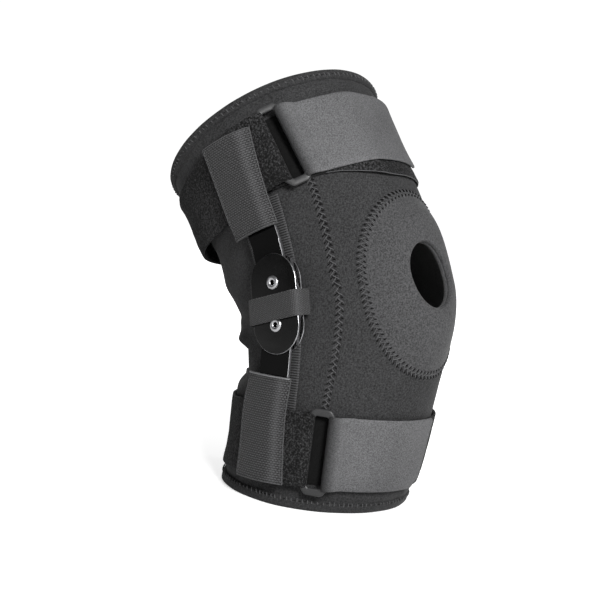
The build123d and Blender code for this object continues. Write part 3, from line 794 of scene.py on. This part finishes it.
def build_ring(name, ring):
    """Moulded ring: two round bars joined by flat ends with cut corners."""
    half_w, half_l, cut = ring.half, 24.1, 3.6
    corners = [(half_w, -half_l + cut), (half_w, half_l - cut), (half_w - cut, half_l)]
    corners += [(-half_w + cut, half_l), (-half_w, half_l - cut), (-half_w, -half_l + cut)]
    corners += [(-half_w + cut, -half_l), (half_w - cut, -half_l)]
    path = []
    for i, (x, y) in enumerate(corners):
        ahead = corners[(i + 1) % len(corners)]
        for (tx, ty), shares in ((corners[i - 1], (0.2, 0.1, 0.03)), (ahead, (0.03, 0.1, 0.2))):
            length = math.hypot(tx - x, ty - y)
            for t in shares:
                reach = min(t * 8, t * length * 2.2)
                path.append((x + (tx - x) * reach / length, y + (ty - y) * reach / length))
    verts, count, sides = [], len(path), 16
    for i, (x, y) in enumerate(path):
        ax = path[(i + 1) % count][0] - path[i - 1][0]
        ay = path[(i + 1) % count][1] - path[i - 1][1]
        length = math.hypot(ax, ay)
        nx, ny = ay / length, -ax / length
        end = float(smooth(abs(y), half_l - cut - 0.5, half_l - 0.5))
        wide, power = BAR_RADIUS + 0.85 * end, 0.95 - 0.4 * end
        for k in range(sides):
            a = 2 * math.pi * k / sides
            side = wide * signed_power(math.cos(a), power)
            lift = BAR_RADIUS * signed_power(math.sin(a), power)
            verts.append(ring.point(x + nx * side, y + ny * side, lift))
    faces = lattice_faces(count, sides, True, True)
    piece = new_piece(f"{name}_ring_moulding", verts, faces, np.zeros((len(verts), 2)), NYLON)
    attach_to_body(piece, f"{name}_ring")
    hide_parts(f"{name}_ring")


def bar_track(ring, x, middle, count=9):
    """Angle and stand-off of one bar of the ring at widths across the strap."""
    widths = np.linspace(-STRAP_WIDTH / 2, STRAP_WIDTH / 2, count)
    found = []
    for v in widths:
        q = np.array([v, 57.0, 4.0])

        def miss(q):
            """Gap between a point over the sleeve and the bar."""
            return surf(middle + v, q[1], q[2]) - ring.point(x, q[0], 0)

        for _ in range(12):
            base = miss(q)
            jac = np.stack([(miss(q + np.eye(3)[k] * 0.05) - base) / 0.05 for k in range(3)], 1)
            q = q - np.linalg.solve(jac, base)
        found.append(q[1:])
    found = np.array(found)
    return (lambda v: np.interp(v, widths, found[:, 0]), lambda v: np.interp(v, widths, found[:, 1]))


def past_bar(s):
    """Angle turned round a ring's bar, and the distance past the bar on either side, along a path."""
    bend = np.clip(s, 0, math.pi * WRAP) / WRAP
    out = np.where(s < 0, -s, np.where(s > math.pi * WRAP, s - math.pi * WRAP, 0))
    return bend, out


def band_offset(rise, along, angle):
    """Inner face of a strap band over the sleeve."""
    return rise(along, angle) + STRAP_GAP


def band_slide(name, angle):
    """How far a band has crept down the leg: the thigh's in front under its tail, the calf's behind."""
    turned = signed_turn(angle)
    if name == "thigh":
        return -7.5 * smooth(turned, -75, -18) * (1 - smooth(turned, 5, 48))
    return -3.5 * smooth(abs(turned), 100, 135)


def build_band(name, middle, rise, ring, body):
    """Fuzzy band from its folded end round the ring's rear bar, round the back, to the front bar."""
    bar_angle, bar_off = bar_track(ring, -ring.half, middle)
    path = list(np.linspace(-STRAP_LEG, 0, 10)) + list(np.linspace(0, math.pi * WRAP, 14)[1:])
    path += list(math.pi * WRAP + np.linspace(0, STRAP_LEG, 10)[1:])
    around = np.linspace(0, 1, 190)[1:]
    turn_end = path[-1]
    path += [turn_end + BAND_SCALE * t for t in around]
    start_angle, end_angle = BAND_START + STRAP_LEG / STRAP_ARC, BAND_END
    taper = 0.035 if name == "thigh" else 0.0

    def place(s, v, h):
        """Point of the band: round the bar for short s, then round the leg."""
        s, v, h = np.broadcast_arrays(s, v, h)
        lift = h - STRAP_THICK / 2
        angle_b, off_b = bar_angle(v), bar_off(v)
        far = np.clip((s - turn_end) / BAND_SCALE, 0, 1)
        bend, out = past_bar(s)
        radius = WRAP + lift
        near_angle = angle_b + (out - radius * np.sin(bend)) / STRAP_ARC
        near_off = off_b - radius * np.cos(bend)
        joined = smooth(out, 1, STRAP_LEG)
        conform_angle = start_angle + (end_angle - start_angle) * far
        slid = band_slide(name, np.where(far > 0, conform_angle, 90))
        nearby = 1 - smooth(far, 0.02, 0.1)
        u = middle + v * (1 - taper * nearby) + taper * 22 * nearby + slid
        target = band_offset(rise, u, np.where(far > 0, conform_angle, near_angle)) + h
        under = np.where(s < 0, -1.6, 0)
        near_mix = near_off * (1 - joined) + (target + under) * joined
        use_far = far > 0
        angle = np.where(use_far, conform_angle, near_angle)
        off = np.where(use_far, target, near_mix)
        fuzz = surf(u, angle, off)
        return surf(u, angle, off + 0.25 * wobble(fuzz, 5, 2.2) * (h > STRAP_THICK * 0.4))

    band = sweep(f"{name}_strap_band", place, path, band_profile(STRAP_WIDTH, STRAP_THICK, 16), PILE)
    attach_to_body(band, body)
    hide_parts(f"{name}_strap", f"{name}_strap_anchor_loop")
    low_edge = [np.ravel(place(turn_end + BAND_SCALE * t, -STRAP_WIDTH / 2, STRAP_THICK * 0.6))
                for t in np.linspace(0.75, 1, 60)]
    thread = thread_piece(f"{name}_band_edge", [low_edge], 0.28, THREAD)
    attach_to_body(thread, body)


def build_slot_shadow(name, middle, ring, body):
    """Black sheet under the ring: a painted shadow that darkens the slot between its bars."""
    ahead, behind = bar_track(ring, ring.half, middle)[0], bar_track(ring, -ring.half, middle)[0]

    def place(s, v, h):
        """Point of the sheet, from the front bar to the rear bar."""
        s, v, h = np.broadcast_arrays(s, v, h)
        return surf(middle + v, ahead(v) * (1 - s) + behind(v) * s, 0.5 + h)

    shadow_sheet = sweep(f"{name}_ring_backing", place, np.linspace(-0.2, 1.1, 14),
                band_profile(STRAP_WIDTH - 3, 0.5, 12), SLOT_SHADOW)
    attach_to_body(shadow_sheet, body)


def build_fold(name, middle, rise, ring):
    """End of the band that comes up through the ring and folds back over its front bar."""
    bar_angle, bar_off = bar_track(ring, ring.half, middle)
    path = list(np.linspace(-STRAP_LEG, 0, 9)) + list(np.linspace(0, math.pi * WRAP, 16)[1:])
    path += list(math.pi * WRAP + np.linspace(0, OVER_LEG, 6)[1:])

    def place(s, v, h):
        """Point of the fold: under the bar, round it and over."""
        s, v, h = np.broadcast_arrays(s, v, h)
        lift = h - STRAP_THICK / 2
        bend, out = past_bar(s)
        radius = WRAP + lift
        angle = bar_angle(v) - (out - radius * np.sin(bend)) / STRAP_ARC
        off = bar_off(v) - radius * np.cos(bend)
        u = middle + v
        below = band_offset(rise, u, angle) + STRAP_THICK / 2 - lift
        above = rise(u, angle) + TAIL_GAP + h
        under = smooth(out, 2, STRAP_LEG)
        off = np.where(s < 0, off * (1 - under) + below * under, off)
        join = smooth(out, 0, OVER_LEG + 4)
        off = np.where(s > math.pi * WRAP, off * (1 - join) + above * join, off)
        return surf(u, angle, off)

    fold = sweep(f"{name}_strap_turn", place, path, band_profile(STRAP_WIDTH, STRAP_THICK, 16), FOLD_SHADED_FACE)
    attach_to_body(fold, f"{name}_ring")
    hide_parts(f"{name}_strap_fold")


def build_tail(name, middle, rise, ring, end_angle, cut_low):
    """Smooth outer end of the strap, laid back over the band, and the hook patch under it."""
    bar_angle, bar_off = bar_track(ring, ring.half, middle)
    path = list(np.linspace(0, 1, 90)) + [1.004]

    def place(s, v, h):
        """Point of the end, from the fold (s = 0) to its tip (s = 1)."""
        s, v, h = np.broadcast_arrays(s, v, h)
        first = bar_angle(v) - (OVER_LEG - 0.4) / STRAP_ARC
        angle = first + (end_angle - first) * s
        tip = smooth(s, 0.955, 1.0)
        low_edge = -STRAP_WIDTH / 2 + 6 * smooth(s, 0.9, 1.0) * cut_low
        v_now = v * (1 - 0.06 * tip**2)
        v_now = np.where(v_now < 0, np.maximum(v_now, low_edge), v_now)
        u = middle + v_now
        out = (bar_angle(v) - angle) * STRAP_ARC
        lift = h - STRAP_THICK / 2
        near = bar_off(v) + WRAP + lift
        above = rise(u, angle) + TAIL_GAP + h
        join = smooth(out, 0, OVER_LEG + 4)
        off = near * (1 - join) + above * join
        points = surf(u, angle, off)
        off = off + 0.35 * wobble(points, 22, 5.5) * smooth(s, 0.05, 0.2)
        flat = np.where(s > 1, STRAP_THICK / 2, h)
        return surf(u, angle, off + (flat - h))

    tail = sweep(f"{name}_strap_end", place, path, band_profile(STRAP_WIDTH, STRAP_THICK, 16), STRAP_FACE)
    start = ring.point(ring.half + 3.0, 0, 4.0)
    end = ring.point(ring.half + 11.0, 0, 4.0)
    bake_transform(tail)
    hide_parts(f"{name}_strap_tail")

    def place_hook(s, v, h):
        """Point of the hook pad at an angle."""
        return surf(middle + v, s, rise(middle + v, s) + STRAP_GAP + STRAP_THICK + h)

    hook = sweep(f"{name}_hook_pad", place_hook, np.linspace(end_angle + 3, end_angle + 33, 30),
                 band_profile(STRAP_WIDTH - 5, TAIL_GAP - STRAP_GAP - STRAP_THICK, 10), HOOK)
    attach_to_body(hook, f"{name}_tail")
    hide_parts(f"{name}_hook_patch")


def build_strap(name, middle, rise, body, end_angle, cut_low):
    """Everything of one strap."""
    ring = Ring(name)
    build_ring(name, ring)
    build_band(name, middle, rise, ring, body)
    build_slot_shadow(name, middle, ring, body)
    build_fold(name, middle, rise, ring)
    build_tail(name, middle, rise, ring, end_angle, cut_low)


# ---------------------------------------------------------------- pockets, tapes and keepers
def build_pocket(part, pivot, lean, up_start, up_end, strap_mid, rise, body):
    """Ribbed elastic pocket sewn over an arm, with the strap passing under it."""
    strap_low, strap_high = strap_mid - STRAP_WIDTH / 2, strap_mid + STRAP_WIDTH / 2
    half = POCKET_WIDTH / 2
    thick = 1.0

    def offset(along, angle, across):
        """Stand-off of the pocket's inner face: over the arm, or over the strap."""
        onto = smooth(along, strap_low - 12, strap_low + 1)
        over = onto * (1 - smooth(along, strap_high - 1, strap_high + 12))
        high = rise(along, angle) + STRAP_GAP + STRAP_THICK + 0.3
        arm = rise(along, angle) + 2.9
        sewn = 0.9 * smooth(abs(across), half - 2.5, half)
        return (arm - sewn) * (1 - over) + high * over

    def place(s, v, h):
        """Point of the pocket at a distance along the arm."""
        s, v, h = np.broadcast_arrays(s, v, h)
        pinch = 1 - 0.02 * np.sin(np.pi * (s - up_start) / (up_end - up_start))
        y, z = side_point(pivot, lean, s, v * pinch - POCKET_SETBACK)
        along, angle = from_side(y, z, 6.0)
        off = offset(along, angle, v)
        points = surf(along, angle, off + h)
        return surf(along, angle, off + h + 0.25 * wobble(points, 12, 6.1))

    pocket = sweep(f"right_{part}_sleeve", place, np.linspace(up_start, up_end, 60),
                   band_profile(POCKET_WIDTH, thick, 22), ELASTIC)
    lines = []
    for v in (-half + 1.6, half - 1.6):
        for s in np.arange(up_start + 1.5, up_end - 1.5, 2.6):
            lines.append([place(t, v, thick + 0.12 * k)
                          for t, k in ((s, 0), (s + 0.5, 1.5), (s + 1.3, 1.5), (s + 1.8, 0))])
    for s in (up_start + 1.8, up_end - 1.8):
        for v in np.arange(-half + 2, half - 2, 2.4):
            lines.append([place(s, t, thick + 0.12 * k)
                          for t, k in ((v, 0), (v + 0.5, 1.5), (v + 1.2, 1.5), (v + 1.7, 0))])
    lines = [[np.ravel(p) for p in line] for line in lines]
    thread = thread_piece(f"right_{part}_stitches", lines, 0.2, THREAD)
    border = build_pocket_border(part, place, up_start, up_end, half, thick)
    pieces = [pocket, thread, border]
    if part == "lower_pocket":
        lip = [np.ravel(place(up_end - 0.6, v, thick)) for v in np.linspace(-half + 0.6, half - 0.6, 34)]
        pieces.append(thread_piece("right_lower_pocket_lip", [lip], 0.5, EDGE_THREAD))
    for piece in pieces:
        other = mirrored(piece, piece.name.replace("right", "left"))
        for side, item in (("right", piece), ("left", other)):
            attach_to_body(item, body)
            if piece == pocket:
                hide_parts(f"{side}_{part}")


def build_pocket_border(part, place, up_start, up_end, half, thick):
    """Thin folded selvedge that stands along the pocket's four edges."""
    lines = []
    inset = 0.35
    for v in (-half + inset, half - inset):
        steps = np.linspace(up_start + inset, up_end - inset, 60)
        lines.append([np.ravel(place(s, v, thick)) for s in steps])
    for s in (up_start + inset, up_end - inset):
        lines.append([np.ravel(place(s, v, thick)) for v in np.linspace(-half + inset, half - inset, 34)])
    return thread_piece(f"right_{part}_selvedge", lines, 0.26, THREAD)


def build_tape(side_sign):
    """Ribbed tape under the arms on one side, in a lower and an upper half."""
    half = 15

    def middle_line(s):
        """Point (y, z) of the line along both arms."""
        bottom = np.array(side_point(LOWER_PIVOT, SHIN_LEAN, -44, 0))
        top = np.array(side_point(UPPER_PIVOT, THIGH_LEAN, 44, 0))
        low, high = LOWER_PIVOT[1:], UPPER_PIVOT[1:]
        t = s[..., None]
        a = (1 - t) * bottom + t * low
        b = (1 - t) * low + t * high
        c = (1 - t) * high + t * top
        return (1 - t) ** 2 * a + 2 * t * (1 - t) * b + t**2 * c

    def place(s, v, h):
        """Point of the tape."""
        s, v, h = np.broadcast_arrays(s, v, h)
        spot = middle_line(s)
        ahead = middle_line(s + 0.01) - middle_line(s - 0.01)
        ahead = ahead / np.linalg.norm(ahead, axis=-1, keepdims=True)
        y = spot[..., 0] - v * ahead[..., 1]
        z = spot[..., 1] + v * ahead[..., 0]
        along, angle = from_side(y, z, 1.0)
        points = surf(along, angle, 0.5 + h)
        points[..., 0] *= side_sign
        return points

    side = "right" if side_sign > 0 else "left"
    for part, low, high, attach in (("lower", -0.05, 0.5, bend_lower), ("upper", 0.5, 1.05, bend_upper)):
        tape = sweep(f"{side}_tape_{part}", place, np.linspace(low, high, 40),
                     band_profile(2 * half, 0.8, 12), TAPE)
        if side_sign < 0:
            tape.data.flip_normals()
        attach(tape)
        if part == "lower":
            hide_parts(f"{side}_backing_tape")


def build_keeper():
    """Webbing keepers over the hinge covers, wrapped round the front edge of the plates."""
    low_x = 67.4
    drop = PIVOT_HALF - 2.5
    tip = math.tan(math.radians(5))

    def place(s, v, h):
        """Point of the keeper, across the cover plate."""
        s, v, h = np.broadcast_arrays(s, v, h)
        flat = 18.4
        over = np.clip(abs(s) - flat, 0, None)
        inward = np.where(s > 0, 0.28, 0.5)
        across = np.sign(s) * (np.minimum(abs(s), flat) + inward * over)
        shoulder = 0.9 * np.exp(-(((abs(s) - flat) / 2.0) ** 2))
        x = low_x - 1.2 * over - shoulder + h
        y, z = side_point(LOWER_PIVOT, PLATE_LEAN, drop + v + across * tip, across)
        return np.stack([-x, y, z], -1)

    keeper = sweep("right_keeper", place, np.linspace(-27, 27, 80), band_profile(15.5, 1.1, 10), WEBBING)
    other = mirrored(keeper, "left_keeper")
    for piece, side in ((keeper, "right"), (other, "left")):
        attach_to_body(piece, "hinge_covers")
        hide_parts(f"{side}_keeper_web")


# ---------------------------------------------------------------- stitching
# One stitch of a flatlock seam: (share of the pitch, share of the half-width, lift)
STITCH = [(0.3, 0.95, 0.0), (0.42, 0.7, 0.45), (0.62, 0.25, 0.65), (0.85, -0.12, 0.6), (1.0, -0.3, 0.2)]


def chain(place, start, end, pitch=3.4, half=2.3):
    """Threads and needle holes of a flatlock seam, the holes drawn as near-black rods of painted shade;
    place(s, across, lift) is a point beside the seam.
    """
    threads, holes = [], []
    for s in np.arange(start, end, pitch):
        for side, begin in ((-1, s), (1, s + pitch / 2)):
            threads.append([place(begin + pitch * a, side * half * b, lift) for a, b, lift in STITCH])
            edge = side * half
            holes.append([place(begin - 0.25, edge, 0.1), place(begin + 0.15, edge * 0.7, 0.25),
                          place(begin + 0.6, edge * 0.38, 0.2)])
    return threads, holes


def seam_place(sign):
    """Place function of one side seam: distance along the leg, across the seam and lift."""
    def place(s, across, lift):
        """Point beside the seam."""
        angle = float(seam_angle(s)) + across / SLEEVE_ARC
        return surf(s, sign * angle, lift + 0.35)
    return place


def oval_place(s, across, lift):
    """Point beside the kneecap panel's seam; s is degrees round the oval."""
    turn = math.radians(s)
    r = 0.985 + across / 42
    base = float(patella_height(np.array(min((r - 0.38) / 0.62, 1.0)), np.array(turn))) if r < 1 else 0.3
    return surf(SPLIT + PATELLA_HALF_LENGTH * r * math.sin(turn),
                PATELLA_HALF_ANGLE * r * math.cos(turn), max(base, -0.4) + lift)


def hem_threads(u, seed):
    """Blind stitches along a hem: uneven light threads over the fold, and dents between them drawn as
    near-black rods of painted shade.
    """
    rng = np.random.default_rng(seed)
    threads, dents = [], []
    angle = 0.0
    while angle < 358:
        reach = rng.uniform(0.7, 1.5)
        lean = rng.uniform(0.5, 1.1)
        threads.append([surf(u - reach, angle, 0.4), surf(u - reach * 0.4, angle + lean * 0.4, 1.05),
                        surf(u + reach * 0.5, angle + lean * 0.7, 1.05), surf(u + reach, angle + lean, 0.4)])
        if rng.random() < 0.7:
            shift, size = rng.uniform(-0.3, 0.3), rng.uniform(0.35, 0.8)
            dents.append([surf(u + shift, angle + 1.9 - size, 0.6), surf(u + shift, angle + 1.9, 0.85),
                          surf(u + shift, angle + 1.9 + size, 0.6)])
        angle += rng.uniform(2.4, 4.0)
    return threads, dents


def build_stitching():
    """Threads and needle holes of the side seams, the kneecap panel and the two hems."""
    seam_low, seam_high = CALF_MID + STRAP_WIDTH / 2 + 1, THIGH_MID - STRAP_WIDTH / 2 - 1
    plans = []
    for part, start, end, attach in (("lower", seam_low, SPLIT - 1.5, bend_lower),
                                     ("upper", SPLIT + 1, seam_high, bend_upper)):
        pairs = [chain(seam_place(sign), start, end) for sign in (1, -1)]
        plans.append((f"seam_{part}", pairs, 0.38, 0.5, attach, "neoprene"))
    for part, start, end, attach in (("upper", 1, 178, bend_upper), ("lower", 181, 358, bend_lower)):
        pair = chain(oval_place, start, end, 3.8, 2.1)
        plans.append((f"patella_{part}", [pair], 0.37, 0.48, attach, "neoprene"))
    plans.append(("lower_hem", [hem_threads(HEM - 0.8, 3)], 0.36, 0.3,
                  lambda p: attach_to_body(p, "shin"), "hem_binding"))
    plans.append(("upper_hem", [hem_threads(SLEEVE_TOP - HEM + 2.6, 7)], 0.36, 0.3,
                  lambda p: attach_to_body(p, "thigh"), "hem_binding"))
    for name, pairs, radius, hole_size, attach, slot in plans:
        threads = [line for pair in pairs for line in pair[0]]
        holes = [line for pair in pairs for line in pair[1]]
        threads = thread_piece(f"{name}_stitches", threads, radius, THREAD)
        holes = thread_piece(f"{name}_holes", holes, hole_size, NEEDLE_HOLE_SHADE)
        for piece in (threads, holes):
            attach(piece)


# ---------------------------------------------------------------- hard parts
def softened(name, width, clear_of=None, clear=0.0):
    """Copy of a CAD node's mesh with its sharp outer edges rounded."""
    mesh = frame["nodes"][name].data.copy()
    mesh.materials.clear()
    work = bmesh.new()
    work.from_mesh(mesh)
    bmesh.ops.remove_doubles(work, verts=work.verts, dist=1e-6)
    bmesh.ops.dissolve_limit(work, angle_limit=math.radians(0.6), verts=work.verts, edges=work.edges)
    edges = []
    for edge in work.edges:
        if len(edge.link_faces) != 2 or edge.calc_face_angle(0) < math.radians(55):
            continue
        middle = (edge.verts[0].co + edge.verts[1].co) / 2
        centre = (0, 0, 0) if clear_of is None else clear_of
        apart = math.hypot(middle.y - centre[1] * MM, middle.z - centre[2] * MM)
        if clear_of is None or apart > clear * MM:
            edges.append(edge)
    bmesh.ops.bevel(work, geom=edges, offset=width * MM, segments=2, profile=0.5, affect="EDGES",
                    clamp_overlap=False, material=1)
    for face in work.faces:
        # Bevels and walls that face forwards, up or down take the bright edge metal, a painted highlight;
        # those facing back stay black.
        face.material_index = int(abs(face.normal.x) < 0.85 and face.normal.y < 0.3)
    work.to_mesh(mesh)
    work.free()
    piece = bpy.data.objects.new(f"{name}_finished", mesh)
    bpy.context.scene.collection.objects.link(piece)
    mesh.shade_smooth()
    mesh.set_sharp_from_angle(angle=math.radians(18))
    return piece


RIVET_PROFILE = [(4.3, -0.2), (4.3, 0.25), (4.05, 0.65), (3.5, 1.0), (2.9, 1.15), (2.3, 1.05), (1.8, 0.8),
                 (1.55, 0.4), (1.45, -0.3), (1.4, -0.9), (0.7, -1.0), (0.0, -1.0)]
RIVET_SHADED_HOLLOW = 7


def build_rivet(side, part, pivot, sign):
    """Rolled rivet head with its hollow middle, whose wall and floor are painted black as shade."""
    sides, verts = 40, []
    for radius, height in RIVET_PROFILE[:-1]:
        for k in range(sides):
            a = 2 * math.pi * k / sides
            y, z = pivot[1] + radius * math.cos(a), pivot[2] + radius * math.sin(a)
            verts.append((-sign * (RIVET_PLANE + height), y, z))
    faces = lattice_faces(len(RIVET_PROFILE) - 1, sides, False, True)
    last = len(verts) - sides
    verts.append((-sign * (RIVET_PLANE + RIVET_PROFILE[-1][1]), pivot[1], pivot[2]))
    faces += [(last + k, last + (k + 1) % sides, len(verts) - 1) for k in range(sides)]
    if sign > 0:
        faces = [f[::-1] for f in faces]
    rivet = new_piece(f"{side}_{part}_head", verts, faces, np.zeros((len(verts), 2)), NICKEL)
    # The hollow takes the black arm finish: painted shade in the recess.
    rivet.data.materials.append(ARM_BLACK)
    for polygon in rivet.data.polygons[RIVET_SHADED_HOLLOW * sides:]:
        polygon.material_index = 1
    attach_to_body(rivet, "hinge_covers")
    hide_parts(f"{side}_{part}")


def finish_metal():
    """Rounded plates and arms, rivet heads, and the material of the washers that stay as they are."""
    for side, sign in (("right", 1), ("left", -1)):
        for part, body, slot, material, pivot, clear in (
                ("outer_cover", "hinge_covers", "cover_steel", GLOSS_BLACK, None, 0),
                ("inner_cover", "hinge_covers", "cover_steel", GLOSS_BLACK, None, 0),
                ("upper_arm", "thigh", "arm_steel", ARM_BLACK, UPPER_PIVOT, 18),
                ("lower_arm", "shin", "arm_steel", ARM_BLACK, LOWER_PIVOT, 18)):
            name = f"{side}_{part}"
            piece = softened(name, 0.55, pivot, clear)
            piece.data.materials.append(material)
            piece.data.materials.append(EDGE_HIGHLIGHT)
            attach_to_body(piece, body)
            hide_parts(name)
        build_rivet(side, "upper_rivet", UPPER_PIVOT, sign)
        build_rivet(side, "lower_rivet", LOWER_PIVOT, sign)
        washers = frame["nodes"][f"{side}_washers"]
        for slot in washers.material_slots:
            slot.material = ACETAL


# ---------------------------------------------------------------- camera, light and floor
IMAGE_SIZE = 600
SENSOR = 36
CAMERA_TURNS = (52, -0.6, -0.5, -11)
CAMERA_DISTANCE = 900.0
CAMERA_FOCAL = 1440.0
CAMERA_SHIFT = (-42.5, 4.0)
FLOOR_HALF = 6
WORLD_LIGHT = 0.1
WORLD_SEEN = 0.95
LIGHT_AIM = (0, 0.02, 0.13)
# (name, place in metres, sides in metres, watts)
LIGHTS = [
    ("key", (-0.84, -1.3, 0.95), (0.45, 0.45), 37),
    ("front", (0.98, -0.8, 0.95), (0.14, 1.3), 2.5),
    ("rear", (0.9, 0.9, 0.9), (0.6, 0.6), 9),
]


def build_camera():
    """Camera at the photograph's angle: right front, level with the knee."""
    azimuth, rise, roll, tip = (math.radians(x) for x in CAMERA_TURNS)
    tilt = Matrix.Rotation(tip, 3, "X")
    level = math.cos(rise)
    away = tilt @ Vector((-math.sin(azimuth) * level, -math.cos(azimuth) * level, math.sin(rise)))
    up = tilt @ Vector((0, 0, 1))
    right = (-away).cross(up).normalized()
    high = right.cross(-away)
    side = right * math.cos(roll) + high * math.sin(roll)
    top = high * math.cos(roll) - right * math.sin(roll)
    data = bpy.data.cameras.new("camera")
    data.sensor_width = SENSOR
    data.lens = CAMERA_FOCAL / IMAGE_SIZE * SENSOR
    data.shift_x = CAMERA_SHIFT[0] / IMAGE_SIZE
    data.shift_y = CAMERA_SHIFT[1] / IMAGE_SIZE
    data.clip_end = 20
    camera = bpy.data.objects.new("camera", data)
    place = (Vector(HINGE_MID) + away * CAMERA_DISTANCE) * MM
    camera.matrix_world = Matrix.Translation(place) @ Matrix((side, top, away)).transposed().to_4x4()
    bpy.context.scene.collection.objects.link(camera)
    bpy.context.scene.camera = camera


def area_light(name, where, aim, size, power):
    """Soft rectangular light aimed at a point, in metres and watts."""
    data = bpy.data.lights.new(name, "AREA")
    data.shape = "RECTANGLE"
    data.size, data.size_y = size
    data.energy = power
    light = bpy.data.objects.new(name, data)
    light.location = where
    light.rotation_euler = (Vector(aim) - Vector(where)).to_track_quat("-Z", "Y").to_euler()
    bpy.context.scene.collection.objects.link(light)


def build_studio():
    """Pale floor, white surround and soft lights."""
    mesh = bpy.data.meshes.new("floor")
    corners = [(x * FLOOR_HALF, y * FLOOR_HALF, 0) for x, y in ((-1, -1), (1, -1), (1, 1), (-1, 1))]
    mesh.from_pydata(corners, [], [(0, 1, 2, 3)])
    mesh.materials.append(plain_stage("floor_white", 0.8))
    floor = bpy.data.objects.new("floor", mesh)
    bpy.context.scene.collection.objects.link(floor)
    world = bpy.data.worlds.new("studio")
    bpy.context.scene.world = world
    world.use_nodes = True
    tree = world.node_tree
    ray = tree.nodes.new("ShaderNodeLightPath").outputs["Is Camera Ray"]
    tree.nodes["Background"].inputs["Color"].default_value = (1, 1, 1, 1)
    glow = math_node(tree, "ADD", WORLD_LIGHT, math_node(tree, "MULTIPLY", ray, WORLD_SEEN))
    tree.links.new(glow, tree.nodes["Background"].inputs["Strength"])
    for name, where, size, power in LIGHTS:
        area_light(name, where, LIGHT_AIM, size, power)
    bpy.context.scene.view_settings.view_transform = "Standard"


build_camera()
build_studio()
build_sleeve()
build_patella()
build_hem("lower_hem_roll", 0, HEM, "shin", "lower_hem")
build_hem("upper_hem_roll", SLEEVE_TOP - HEM, SLEEVE_TOP, "thigh", "upper_hem")
build_strap("calf", CALF_MID, calf_rise, "shin", -15, 1)
build_strap("thigh", THIGH_MID, thigh_rise, "thigh", -25, 0)
build_pocket("lower_pocket", LOWER_PIVOT, SHIN_LEAN, -93, -30, CALF_MID, calf_rise, "shin")
build_pocket("upper_pocket", UPPER_PIVOT, THIGH_LEAN, 32, 91, THIGH_MID, thigh_rise, "thigh")
build_tape(1)
build_tape(-1)
build_keeper()
build_stitching()
finish_metal()
